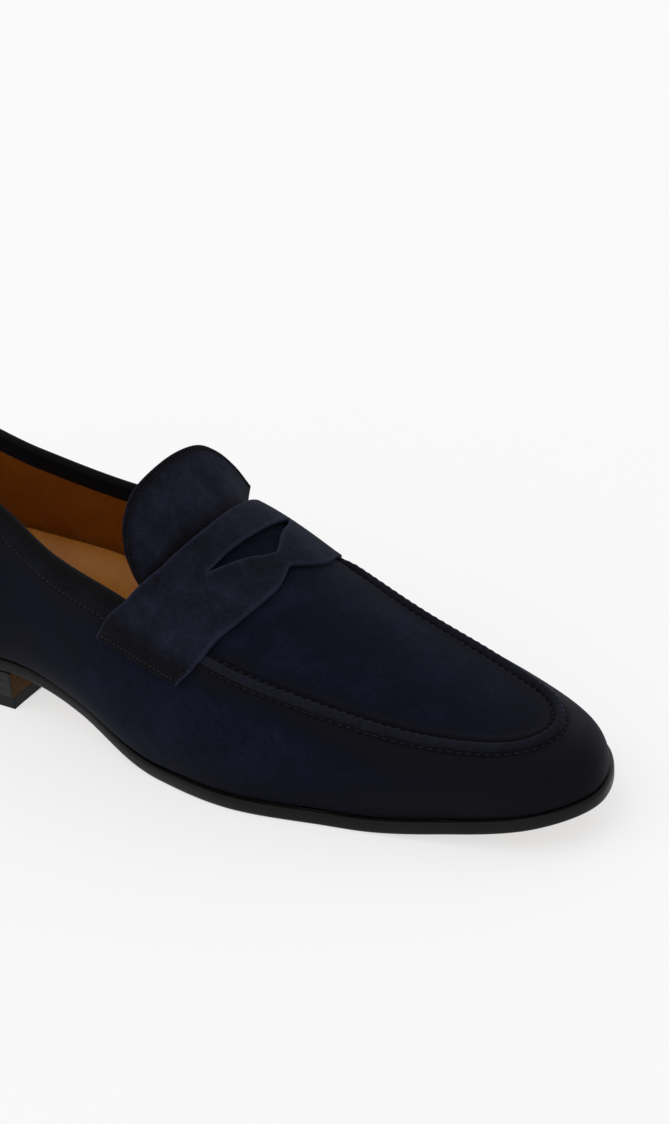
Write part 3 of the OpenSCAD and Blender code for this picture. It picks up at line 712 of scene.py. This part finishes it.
def build_vamp():
    rows = stretches((0, 0.2, 90), (0.2, 0.8, 760), (0.8, 1, 90))
    levels = stretches((0, 0.7, 34), (0.7, 1, 42))
    q, p = np.meshgrid(rows, levels, indexing="ij")
    start = foxing_edge(p) - 0.12
    u = start + q * (20 - 2 * start)
    under_collar = drop(u, COLLAR_W - 4)
    v = p * (under_collar + (1 - under_collar) * smooth(station(u), 4.95, 5.5))
    base, normal = wall(u, v), wall_normal(u, v)
    height = 0.22 * waves(base, 16, 1) * smooth(p, 0, 0.2) * (1 - smooth(p, 0.8, 0.95))
    height -= groove_field(base, holes)
    height -= 0.35 * bump_at(distance(base, outer_path), 0, 0.8)
    height -= 0.30 * bump_at(distance(base, collar_path), 0, 0.9)
    height -= 0.9 * (1 - smooth(p, 0, 0.035))
    burnish_and_painted_light = wall_darkening(base)
    # Painted shade in the stitch holes and along the outer stitch groove, added to the wall's darkening.
    burnish_and_painted_light = np.clip(burnish_and_painted_light + 0.9 * bump_at(distance(base, holes), 0, 0.8)
                   + 0.4 * bump_at(distance(base, outer_path), 0, 0.9), 0, 1)
    suede_shell("vamp", base, normal, height, burnish_and_painted_light, NAVY)


def build_foxing():
    rows = np.concatenate([[0, 0.0008, 0.0025, 0.006], np.linspace(0.012, 0.988, 260),
                           [0.994, 0.9975, 0.9992, 1]])
    levels = np.linspace(0, 1, 60)
    q, p = np.meshgrid(rows, levels, indexing="ij")
    edge = foxing_edge(p)
    u = -edge + q * 2 * edge
    v = p * drop(u, COLLAR_W - 4)
    base, normal = wall(u, v), wall_normal(u, v)
    from_edge = (edge - np.abs(u)) * 25
    height = 0.75 - 0.45 * quarter(from_edge, 0.5)
    height = height + 0.15 * waves(base, 16, 2)
    stitch_holes = stitch_ends(foxing_rows)
    height -= 0.25 * bump_at(distance(base, stitch_holes), 0.3, 0.6)
    height -= 0.30 * bump_at(distance(base, collar_path), 0, 0.9)
    height -= 0.9 * (1 - smooth(p, 0, 0.04))
    burnish_and_painted_light = np.clip(0.30 + wall_darkening(base) + 0.5 * (1 - smooth(from_edge, 0, 5)), 0, 1)
    suede_shell("heel_foxing", base, normal, height, burnish_and_painted_light, NAVY)


# ------------ collar
def build_collar():
    """A strip folded over the topline: padded outer leg, roll, and inner leg."""
    def off(u, v, height):
        return wall(u, v) + wall_normal(u, v) * height[:, None]

    us = np.linspace(-5.4, 5.4, 530)
    rings, burns = [], []
    for u in us:
        low, low_in = drop(u, COLLAR_W), drop(u, COLLAR_W - 0.2)
        crest = drop(u, COLLAR_ROLL)
        out_v = low + (crest - low) * np.array([0, 0.03, 0.08, 0.2, 0.4, 0.6, 0.8, 1])
        out_h = np.array([0.35, 0.85, 1.05, 1.15, 1.2, 1.15, 0.95, 0.6])
        face = off(u, out_v, out_h)
        a, b = face[-1], wall(u, crest) - wall_normal(u, crest) * (LINING_IN + LINING_T + 0.25)
        lift = unit(wall(u, crest) - wall(u, crest - 0.05)) * COLLAR_ROLL
        arc = np.array([a + (b - a) * (1 - math.cos(w)) / 2 + lift * 1.05 * math.sin(w)
                        for w in np.linspace(0, math.pi, 9)[1:-1]])
        in_v = crest + (low_in - crest) * np.array([0, 0.3, 0.6, 0.92, 0.97, 1])
        in_h = -(LINING_IN + LINING_T + np.array([0.25, 0.4, 0.45, 0.4, 0.3, 0.0]))
        inner = off(u, in_v, in_h)
        core_v = np.array([low_in, crest, crest, low])
        core_h = -np.array([LINING_IN + 0.2, LINING_IN, SUEDE_T * 0.5, 0.0])
        rings.append(np.concatenate([face, arc, inner, off(u, core_v, core_h)]))
        burns.append([0.9, 0.75, 0.5, 0.3, 0.2, 0.3, 0.5, 0.8] + [1.0] * 7 + [0.9] * 10)
    points = np.array(rings)
    points[:, :8] += 0.12 * waves(points[:, :8], 9, 5)[..., None] * unit(points[:, 3:4] - points[:, 18:19])
    add_mesh("topline_collar", points.reshape(-1, 3), loft_faces(len(us), points.shape[1]), DARK,
             {"burnish_and_painted_light": np.ravel(burns)}, replaces=("topline_collar",), slot="dark_suede")


# ------------ apron and its raised seam
def build_apron():
    ts = stretches((5.33, 9, 290), (9, 9.985, 130))
    ws = stretches((0, 0.16, 40), (0.16, 0.84, 70), (0.84, 1, 40))
    t, w = np.meshgrid(ts, ws, indexing="ij")
    base, normal = top(t, w), top_normal(t, w)
    from_seam = distance(base, seam_line)
    height = 0.18 * waves(base, 18, 3) * smooth(from_seam, 2, 10)
    height -= 0.45 * bump_at(from_seam, 2.1, 0.9) * smooth(t, 5.8, 6.1)
    height -= groove_field(base, holes)
    height += 0.3 * bump_at(from_seam, 3.9, 1.4) * smooth(t, 5.8, 6.1)
    # Burnish along the moc seam and towards the toe, and painted shade in the stitch holes.
    burnish_and_painted_light = np.clip(0.55 * (1 - smooth(from_seam, 2, 11)) + 0.25 * smooth(-base[..., 1], 235, 280)
                   + 0.7 * bump_at(distance(base, holes), 0, 0.6), 0, 1)
    suede_shell("apron", base, normal, height, burnish_and_painted_light, NAVY)


def build_lip():
    us = np.linspace(5.8, 14.2, 1100)
    _, _, across_, up_ = rim_frame(us)
    pucker = np.cos(run_along(rim(us)) / MOC_PITCH * 2 * math.pi)
    angles = np.concatenate([np.radians(np.linspace(-28, 208, 17)), np.radians([235, 270, 305])])
    fade = smooth(station(us), 5.85, 6.2)
    width = LIP_W / 2 * (0.98 + 0.05 * pucker)
    tall = LIP_H * (0.35 + 0.55 * fade) * (1 + 0.045 * pucker)
    centre = rim(us) + up_ * 0.1
    wide = np.cos(angles)[:, None] * (across_ * width[:, None])[:, None]
    points = centre[:, None] + wide + np.sin(angles)[:, None] * (up_ * tall[:, None])[:, None]
    # Painted highlight on the lip's top and painted shade on its sides and underside.
    burnish_and_painted_light = np.broadcast_to(0.35 - 0.35 * np.clip(np.sin(angles), 0, 1), points.shape[:2])
    add_mesh("moc_lip", points.reshape(-1, 3), loft_faces(len(us), len(angles)), LIP,
             {"burnish_and_painted_light": burnish_and_painted_light.ravel()}, replaces=("moc_lip",), slot="dark_suede")


# ------------ strap
def strap_edge(table, g):
    return np.interp(g, STRAP_AT, table)


def strap_face(t, g, height):
    """A point over the wall, the apron or the other wall, height above the leather."""
    t, g, height = np.broadcast_arrays(np.asarray(t, float), np.asarray(g, float), np.asarray(height, float))
    low, high = np.clip(g, None, 0), np.clip(g - 1, 0, None)
    near_v, far_v = 1 + low * STRAP_DROP, 1 - high * STRAP_DROP
    near, near_n = wall(t, near_v), wall_normal(t, near_v)
    far, far_n = wall(20 - t, far_v), wall_normal(20 - t, far_v)
    mid, mid_n = top(t, np.clip(g, 0, 1)), top_normal(t, np.clip(g, 0, 1))
    base = np.where((g < 0)[..., None], near, np.where((g > 1)[..., None], far, mid))
    bend = 0.10
    near_share = smooth(-g, -bend, bend)[..., None]
    far_share = smooth(g - 1, -bend, bend)[..., None]
    normal = unit(near_n * near_share + far_n * far_share + mid_n * (1 - near_share - far_share))
    return base + normal * height[..., None]


def smooth_loop(points, count, corners):
    """A closed curve through points, even in length, sharp only at the named corners."""
    pts = np.array(points, float)
    n = len(pts)
    out = []
    for i in range(n):
        a, b, c, d = pts[(i - 1) % n], pts[i], pts[(i + 1) % n], pts[(i + 2) % n]
        if i in corners:
            a = 2 * b - c
        if (i + 1) % n in corners:
            d = 2 * c - b
        for q in np.linspace(0, 1, count, endpoint=False):
            out.append(cubic(a, b, c, d, q))
    return np.array(out)


G_MM = 88.0
T_MM = 37.0


def build_strap():
    """Cut from a flat pattern in (across, along) millimetres, with the slot, then laid over the shoe."""
    back_g = np.linspace(-1, 2, 150)
    back = np.stack([back_g * G_MM, strap_edge(STRAP_BACK, back_g) * T_MM], 1)
    front_keys = list(zip(STRAP_AT, STRAP_FRONT))
    front = smooth_loop([(g * G_MM, t * T_MM) for g, t in front_keys], 14, {0, 6, len(front_keys) - 1})
    front = front[: 14 * (len(front_keys) - 1) + 1]
    end_a = np.linspace(front[0], back[0], 24)[1:-1]
    end_b = np.linspace(back[-1], front[-1], 24)[1:-1]
    rim_loop = np.concatenate([back, end_b, front[::-1], end_a])
    slot_loop = smooth_loop([(w * G_MM, t * T_MM) for w, t in SLOT], 12, {0, 4, 8})

    def offset(loop, mm):
        d = unit(np.roll(loop, -1, 0) - np.roll(loop, 1, 0))
        return loop + np.stack([d[:, 1], -d[:, 0]], 1) * mm

    def inside(poly, pts):
        x, y = pts[:, 0], pts[:, 1]
        hit = np.zeros(len(pts), bool)
        for a, b in zip(poly, np.roll(poly, -1, 0)):
            cross = (a[1] > y) != (b[1] > y)
            with np.errstate(divide="ignore", invalid="ignore"):
                hit ^= cross & (x < (b[0] - a[0]) * (y - a[1]) / (b[1] - a[1]) + a[0])
        return hit

    def to_edge(pts):
        """Distance to the nearest cut edge, in the flat."""
        best = np.full(len(pts), 1e9)
        for loop in (rim_loop, slot_loop):
            for p, q in zip(loop, np.roll(loop, -1, 0)):
                d = q - p
                k = np.clip(((pts - p) @ d) / max(d @ d, 1e-12), 0, 1)
                best = np.minimum(best, np.linalg.norm(pts - p - k[:, None] * d, axis=1))
        return best

    xs = np.arange(-G_MM + 0.7, 2 * G_MM, 1.15)
    ys = np.arange(4.7 * T_MM, 6.15 * T_MM, 1.0)
    grid = np.stack(np.meshgrid(xs, ys, indexing="ij"), -1).reshape(-1, 2)
    extra = np.concatenate([offset(loop, s * mm) for loop in (rim_loop, slot_loop)
                            for s in (1, -1) for mm in (0.2, 0.55, 1.1)])
    extra = extra[to_edge(extra) > 0.12]
    grid = grid[to_edge(grid) > 1.4]
    body = np.concatenate([extra, grid])
    body = body[inside(rim_loop, body) & ~inside(slot_loop, body)]
    flat = np.concatenate([rim_loop, slot_loop, body])
    n_rim, n_slot = len(rim_loop), len(slot_loop)
    edges = [(i, (i + 1) % n_rim) for i in range(n_rim)]
    edges += [(n_rim + i, n_rim + (i + 1) % n_slot) for i in range(n_slot)]
    verts, _, tris, _, _, _ = delaunay_2d_cdt([Vector(p) for p in flat], edges, [], 0, 1e-5)
    flat = np.array([tuple(v) for v in verts])
    tris = np.array([t for t in tris if len(t) == 3])
    middle = flat[tris].mean(1)
    tris = tris[inside(rim_loop, middle) & ~inside(slot_loop, middle)]

    g, t = flat[:, 0] / G_MM, flat[:, 1] / T_MM
    gap = to_edge(flat)
    slot_near = np.exp(-((g - 0.6) / 0.42) ** 2 - ((t - 5.66) / 0.34) ** 2)
    stand = STRAP_STAND + 1.5 * slot_near
    fall = 0.45 * quarter(gap, 0.9)
    upper = strap_face(t, g, stand + STRAP_T - fall)
    upper_n = unit(strap_face(t, g, 1.0) - strap_face(t, g, 0.0))
    upper += upper_n * (0.16 * waves(upper, 12, 7) * np.clip(gap / 3, 0, 1))[:, None]
    ends = stitch_ends(strap_rows)
    upper -= upper_n * (0.22 * bump_at(distance(upper, ends), 0, 0.8))[:, None]
    lower = strap_face(t, g, stand)
    count = len(flat)
    edge_count = {}
    for a, b, c in tris:
        for e in ((a, b), (b, c), (c, a)):
            edge_count[tuple(sorted(e))] = edge_count.get(tuple(sorted(e)), 0) + 1
    up_faces = [list(t_) for t_ in tris]
    test = tris[len(tris) // 2]
    area = np.cross(upper[test[1]] - upper[test[0]], upper[test[2]] - upper[test[0]])
    if area @ upper_n[test[0]] < 0:
        up_faces = [f[::-1] for f in up_faces]
    faces = list(up_faces) + [[count + i for i in f[::-1]] for f in up_faces]
    for f in up_faces:
        for a, b in ((f[0], f[1]), (f[1], f[2]), (f[2], f[0])):
            if edge_count[tuple(sorted((a, b)))] == 1:
                faces.append([b, a, count + a, count + b])
    # The strap is darker where it runs down the walls, and a little darker about 3 mm in from its edges.
    burnish_and_painted_light = np.clip(0.9 * smooth(np.abs(g - 0.5), 0.6, 1.35) + 0.10 * bump_at(gap, 3, 2.5), 0, 1)
    # The cut edges are paler: partly the nap of the cut, partly a painted highlight along the edge.
    pale_cut_and_highlight = bump_at(gap, 0, 0.8)
    burnish_and_painted_light = np.clip(burnish_and_painted_light * (1 - pale_cut_and_highlight) - 0.9 * pale_cut_and_highlight, -0.9, 1)
    points = np.concatenate([upper, lower])
    add_mesh("saddle_strap", points, faces, PALE, {"burnish_and_painted_light": np.concatenate([burnish_and_painted_light, burnish_and_painted_light * 0 + 0.3])},
             replaces=("saddle_strap",), slot="navy_suede")


strap_rows = []
for g_end in (-0.89, 1.89):
    q = np.linspace(0, 1, 80)
    back_t, front_t = strap_edge(STRAP_BACK, g_end), strap_edge(STRAP_FRONT, g_end)
    t_row = back_t + 0.05 + q * (front_t - back_t - 0.1)
    row = strap_face(t_row, np.full(80, g_end), STRAP_STAND + STRAP_T)
    row_n = unit(strap_face(t_row, np.full(80, g_end), 3.0) - row)
    strap_rows += stitch_row(row, row_n, STRAP_PITCH, 0.55)


# ------------ tongue
def tongue_rim_gap(base):
    """Distance to the tongue's free edge."""
    edge_w = np.linspace(0, 1, 400)
    edge_k = np.linspace(0, 1, 30)
    sides = [tongue_face(edge_k, np.full(30, w)) for w in (0.0, 1.0)]
    return distance(base, np.concatenate([tongue_face(1, edge_w), *sides]))


path_w = np.linspace(0.03, 0.97, 220)
path_k = 1 - TONGUE_MARGIN / np.linalg.norm(tongue_edge(path_w) - tongue_root(path_w), axis=-1)
tongue_path, tongue_n = tongue_face(path_k, path_w), tongue_normal(path_k, path_w)
tongue_rows = stitch_row(tongue_path + tongue_n * 0.02, tongue_n, TONGUE_PITCH, 0.6)


def bend(piece):
    """Bakes the piece's placement into its mesh; the tongue's pieces are given no body."""
    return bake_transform(piece)


def build_tongue():
    ks = 1 - 1.05 * (1 - np.linspace(0, 1, 80)) ** 1.5
    ws = stretches((0, 0.03, 8), (0.03, 0.97, 150), (0.97, 1, 8))
    k, w = np.meshgrid(ks, ws, indexing="ij")
    base, normal = tongue_face(k, w), tongue_normal(k, w)
    gap = tongue_rim_gap(base)
    soft = quarter(gap, 0.8)
    ends = stitch_ends(tongue_rows)
    height = 0.15 * waves(base, 12, 9) * smooth(gap, 1, 6) - 0.45 * soft
    height -= 0.22 * bump_at(distance(base, ends), 0, 0.7)
    height -= 0.15 * bump_at(distance(base, tongue_path), 0, 0.8)
    burnish_and_painted_light = np.clip(0.8 * (1 - smooth(gap, 0, 5)) + 0.6 * (1 - smooth(k, 0.02, 0.25)), 0, 1)
    bend(suede_shell("tongue", base, normal, height, burnish_and_painted_light, PALE, body=None))
    cut = 1 - smooth(gap, 0.1, 0.5)
    low = SUEDE_T + 0.02
    k, w = k * 0.98, 0.5 + (w - 0.5) * 0.975
    base, normal = tongue_face(k, w), tongue_normal(k, w)
    thick = (LINING_T - 0.3 * soft)[..., None]
    bend(shell("tongue_lining", base - normal * low, base - normal * (low + thick), TAN,
               {"cut": (cut, cut)}, body=None, replaces=("tongue_lining",), slot="lining_leather"))
    bend(add_stitches("tongue_thread", tongue_rows, 0.2, 0.08, THREAD_DARK, body=None))


# ------------ linings and sock
def build_linings():
    def lining(name, base, normal, seed=None):
        none = base[..., 0] * 0
        soft = none if seed is None else 0.16 * waves(base, 13, seed)
        inner = base - normal * (LINING_IN + LINING_T + soft)[..., None]
        shell(name, base - normal * LINING_IN, inner, TAN, {"cut": (none, none)},
              replaces=(name,), slot="lining_leather")

    for name, start, end, rows, seed in (("quarter_lining", -4.25, 4.25, 260, 11),
                                         ("vamp_lining", 4.255, 15.745, 300, 12)):
        q, p = np.meshgrid(np.linspace(0, 1, rows), np.linspace(0, 1, 46), indexing="ij")
        u = start + q * (end - start)
        stop = drop(u, COLLAR_W - 3)
        v = 0.05 + p * (stop + (0.985 - stop) * smooth(station(u), 5.2, 5.6) - 0.05)
        lining(name, wall(u, v), wall_normal(u, v), seed)
    t, w = np.meshgrid(np.linspace(5.42, 9.8, 120), np.linspace(0.02, 0.98, 60), indexing="ij")
    lining("apron_lining", top(t, w), top_normal(t, w))


def board_depth(u, extra):
    """How far a board inside the upper stays in from the outsole's edge; more towards the toe."""
    toe = 5 * np.clip((station(u) - 6) / 4, 0, 1) ** 2
    return even(LEDGE, station(u)) + LINING_IN + LINING_T + BOARD_GAP + extra + toe


def cross_plan(depth, ts, ws):
    """Points across the sole between its two inset edges."""
    t, w = np.meshgrid(ts, ws, indexing="ij")
    a, d = inset(t, depth(t)), inset(20 - t, depth(20 - t))
    return a + (d - a) * w[..., None], t, w


def end_dense(count):
    return 5 - 5 * np.cos(np.linspace(0.02, math.pi - 0.02, count))


def build_sock():
    ws = 0.5 - 0.5 * np.cos(np.linspace(0, math.pi, 60))
    plan, _, _ = cross_plan(lambda u: board_depth(u, 0.3), end_dense(260), ws)
    edge = inset(FINE_U, board_depth(FINE_U, 0.3))
    gap = distance(plan, edge)
    base = underside(-plan[..., 1]) + SOLE_T + SOCK_LOW
    heel_lift = HEEL_PAD * (1 - smooth(-plan[..., 1], 40, 130))
    rise = (SOCK_DISH + heel_lift) * (1 - smooth(gap, 0, 14)) + heel_lift - 0.35 * quarter(gap, 0.5)
    top_face, low_face = plan.copy(), plan.copy()
    top_face[..., 2] = base + SOCK_T + rise + 0.12 * waves(plan, 14, 21)
    low_face[..., 2] = base + 0.05
    cut = (1 - smooth(gap, 0.0, 0.35)) * 0.5
    shell("sock_liner", top_face[:, ::-1], low_face[:, ::-1], SOCK, {"cut": (cut, cut)},
          replaces=("sock_liner",), slot="lining_leather")


# ------------ outsole and heel
def paint(piece, materials, bands):
    """Gives each face the material of its band."""
    for extra in materials[1:]:
        piece.data.materials.append(extra)
    if len(piece.data.polygons) == len(bands):
        piece.data.polygons.foreach_set("material_index", bands)


def board(name, ts, profile, materials, replaces, slot):
    """A sole-like solid swept round its edge, closed above and below by cross rows.

    profile is a list of (inset, height function); the materials are for edge, underside and top."""
    us = np.concatenate([ts, (20 - ts)[::-1]])
    rings = []
    for depth, height in profile:
        p = inset(us, np.full(len(us), float(depth)))
        p[:, 2] = height(-p[:, 1])
        rings.append(p)
    points = np.concatenate(rings)
    n = len(us)
    faces = loft_faces(len(profile), n)[:-2]
    bands = [0] * len(faces)
    half = len(ts)
    for r, flip, band in ((0, True, 1), (len(profile) - 1, False, 2)):
        ws = np.linspace(0, 1, 25)[1:-1]
        a = rings[r][:half]
        d = rings[r][n - 1: half - 1: -1]
        base = len(points)
        fill = a[:, None] + (d - a)[:, None] * ws[None, :, None]
        height = profile[r][1]
        fill[..., 2] = height(-fill[..., 1])
        points = np.concatenate([points, fill.reshape(-1, 3)])
        grid = np.concatenate([np.array([r * n + i for i in range(half)])[:, None],
                               base + np.arange(half * len(ws)).reshape(half, -1),
                               np.array([r * n + n - 1 - i for i in range(half)])[:, None]], 1)
        for i in range(half - 1):
            for j in range(grid.shape[1] - 1):
                f = [grid[i, j], grid[i, j + 1], grid[i + 1, j + 1], grid[i + 1, j]]
                faces.append(f[::-1] if flip else f)
                bands.append(band)
    piece = add_mesh(name, points, faces, materials[0], replaces=replaces, slot=slot)
    paint(piece, materials, bands)


def build_outsole():
    low = underside
    high = lambda s: underside(s) + SOLE_T
    part = lambda share, drop_mm=0.0: (lambda s: underside(s) + SOLE_T * share - drop_mm)
    profile = [(2.2, low), (1.1, part(0, -0.12)), (0.42, part(0, -0.45)), (0.1, part(0, -1.0)),
               (0.0, part(0, -1.7)), (0.0, part(0.72)), (0.12, part(0.86)), (0.45, part(0.96)),
               (1.0, part(1.0)), (3.0, high)]
    board("outsole", end_dense(420), profile, [SOLE_EDGE, TREAD, SOLE_EDGE], ("outsole",), "sole_leather")


def heel_slice(name, low, high, material, breast, slot):
    """One lift of the heel: the sole's outline behind the breast, with softly broken edges."""
    breast_u = np.interp(HEEL_LEN, OUT_S, np.arange(11))
    for _ in range(4):
        breast_u += (HEEL_LEN + float(outline(np.array(breast_u))[1])) / 35
    far_u = 20 - breast_u
    for _ in range(4):
        far_u -= (HEEL_LEN + float(outline(np.array(far_u))[1])) / 35
    us = np.linspace(far_u - 20, breast_u, 220)
    taper = lambda z: HEEL_TAPER * (1 - smooth(z, 0, HEEL_H))
    rings = []
    for depth, z in ((0.6, low), (0.09, low + 0.02), (0.0, low + 0.11), (0.0, low + 0.2),
                     (0.0, high - 0.2), (0.0, high - 0.11), (0.09, high - 0.02), (0.6, high)):
        p = inset(us, np.full(len(us), depth + taper(z)))
        p[:, 2] = z
        a, d = p[-1], p[0]
        q = np.linspace(0, 1, 60)[1:-1]
        face = a + (d - a) * q[:, None]
        face[:, 1] = -HEEL_LEN + depth + BREAST_BOW * np.sin(math.pi * q) + 0.6 * taper(z)
        p[:, 1] = np.maximum(p[:, 1], -HEEL_LEN + depth + 0.6 * taper(z))
        rings.append(np.concatenate([p, face]))
    points = np.array(rings)
    rows, n = points.shape[:2]
    faces = loft_faces(rows, n)[:-2]
    bands = [1 if face[0] % n >= len(us) - 1 else 0 for face in faces] + [0, 0]
    faces += [list(range(n)), list(range((rows - 1) * n, rows * n))[::-1]]
    piece = add_mesh(name, points.reshape(-1, 3), faces, material, replaces=(name,), slot=slot)
    paint(piece, [material, breast], bands)


def build_heel():
    lift = (HEEL_H - TOP_PIECE_T) / 3
    for i in range(3):
        high = HEEL_H - i * lift
        heel_slice(f"heel_lift_{i + 1}", high - lift, high, HEEL_EDGE, BREAST, "lift_leather")
    heel_slice("heel_top_piece", 0, TOP_PIECE_T, RUBBER, RUBBER, "top_piece_rubber")


# ------------ build everything
build_vamp()
build_foxing()
build_collar()
build_apron()
build_lip()
build_strap()
build_tongue()
build_linings()
build_sock()
build_outsole()
build_heel()
add_stitches("moc_thread", outer_rows + inner_rows, 0.24, 0.10, THREAD_MOC)
add_stitches("collar_thread", collar_rows, 0.22, 0.1, THREAD)
add_stitches("foxing_thread", foxing_rows, 0.2, 0.1, THREAD)
add_stitches("strap_thread", strap_rows, 0.18, 0.08, THREAD)

# Inner pieces keep their CAD shape and get real materials
INNER = {
    "insole": leather("insole_board", (0.30, 0.17, 0.08), (0.42, 0.26, 0.13), 0.7),
    "cork_filler": leather("cork", (0.22, 0.12, 0.05), (0.42, 0.27, 0.13), 0.9, 0.002, 0.0003),
    "shank": metal("shank_steel", (0.42, 0.42, 0.44), 0.35),
    "heel_nails": metal("nail_steel", (0.45, 0.45, 0.46), 0.4),
    "top_piece_brads": metal("brad_brass", (0.55, 0.40, 0.16), 0.38),
    "toe_puff": leather("toe_puff_board", (0.50, 0.46, 0.38), (0.62, 0.57, 0.47), 0.9),
    "heel_counter": leather("counter_board", (0.48, 0.40, 0.30), (0.60, 0.52, 0.40), 0.85),
}
for name, material in INNER.items():
    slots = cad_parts[name].data.materials
    slots.clear()
    slots.append(material)

# ------------ stage, light and camera
floor_mesh = bpy.data.meshes.new("floor")
floor_mesh.from_pydata([(-6, -6, 0), (6, -6, 0), (6, 6, 0), (-6, 6, 0)], [], [(0, 1, 2, 3)])
floor = bpy.data.objects.new("floor", floor_mesh)
scene.collection.objects.link(floor)
floor_material, _, floor_shader = new_material("pale_floor")
floor_shader.inputs["Base Color"].default_value = (0.33, 0.33, 0.33, 1)
floor_shader.inputs["Emission Color"].default_value = (1, 1, 1, 1)
floor_shader.inputs["Emission Strength"].default_value = 0.655
set_shader(floor_shader, Roughness=0.9, Specular_IOR_Level=0.1)
floor_mesh.materials.append(floor_material)

world = bpy.data.worlds.new("studio")
scene.world = world
world.use_nodes = True
world.node_tree.nodes["Background"].inputs["Color"].default_value = (1, 1, 1, 1)
world.node_tree.nodes["Background"].inputs["Strength"].default_value = 0.6


def area_light(name, place_at, size, power):
    light = bpy.data.lights.new(name, "AREA")
    light.shape = "RECTANGLE"
    light.size, light.size_y = size
    light.energy = power
    made = bpy.data.objects.new(name, light)
    made.location = place_at
    made.rotation_euler = (Vector((0, 0, 0.03)) - Vector(place_at)).to_track_quat("-Z", "Y").to_euler()
    scene.collection.objects.link(made)


area_light("key", (-0.9, 0.9, 1.9), (2.6, 2.6), 14)
area_light("fill", (-1.6, -1.2, 1.1), (2.6, 2.0), 6)
area_light("back", (1.5, 0.4, 1.3), (2.4, 2.0), 7)

CAMERA_AZIMUTH, CAMERA_ELEVATION, CAMERA_ROLL = 35.6, 28.1, -4.8
CAMERA_DISTANCE, CAMERA_FOCAL_PX = 1190.0, 3460.0
SENSOR_MM, PICTURE_PX = 36, 1124
CAMERA_AIM = np.array([33.5, -174.8, 51.6])
a, e = math.radians(CAMERA_AZIMUTH), math.radians(CAMERA_ELEVATION)
back_way = np.array([-math.cos(a) * math.cos(e), -math.sin(a) * math.cos(e), math.sin(e)])
eye = Vector(place(CAMERA_AIM + back_way * CAMERA_DISTANCE))
forward = Vector(-back_way)
right = forward.cross(Vector((0, 0, 1))).normalized()
above = right.cross(forward)
roll = math.radians(CAMERA_ROLL)
right, above = (right * math.cos(roll) + above * math.sin(roll),
                above * math.cos(roll) - right * math.sin(roll))
camera_data = bpy.data.cameras.new("camera")
camera_data.sensor_width = SENSOR_MM
camera_data.lens = SENSOR_MM * CAMERA_FOCAL_PX / PICTURE_PX
camera = bpy.data.objects.new("camera", camera_data)
camera.matrix_world = Matrix.Translation(eye) @ Matrix((right, above, -forward)).transposed().to_4x4()
scene.collection.objects.link(camera)
scene.camera = camera
scene.view_settings.view_transform = "Standard"
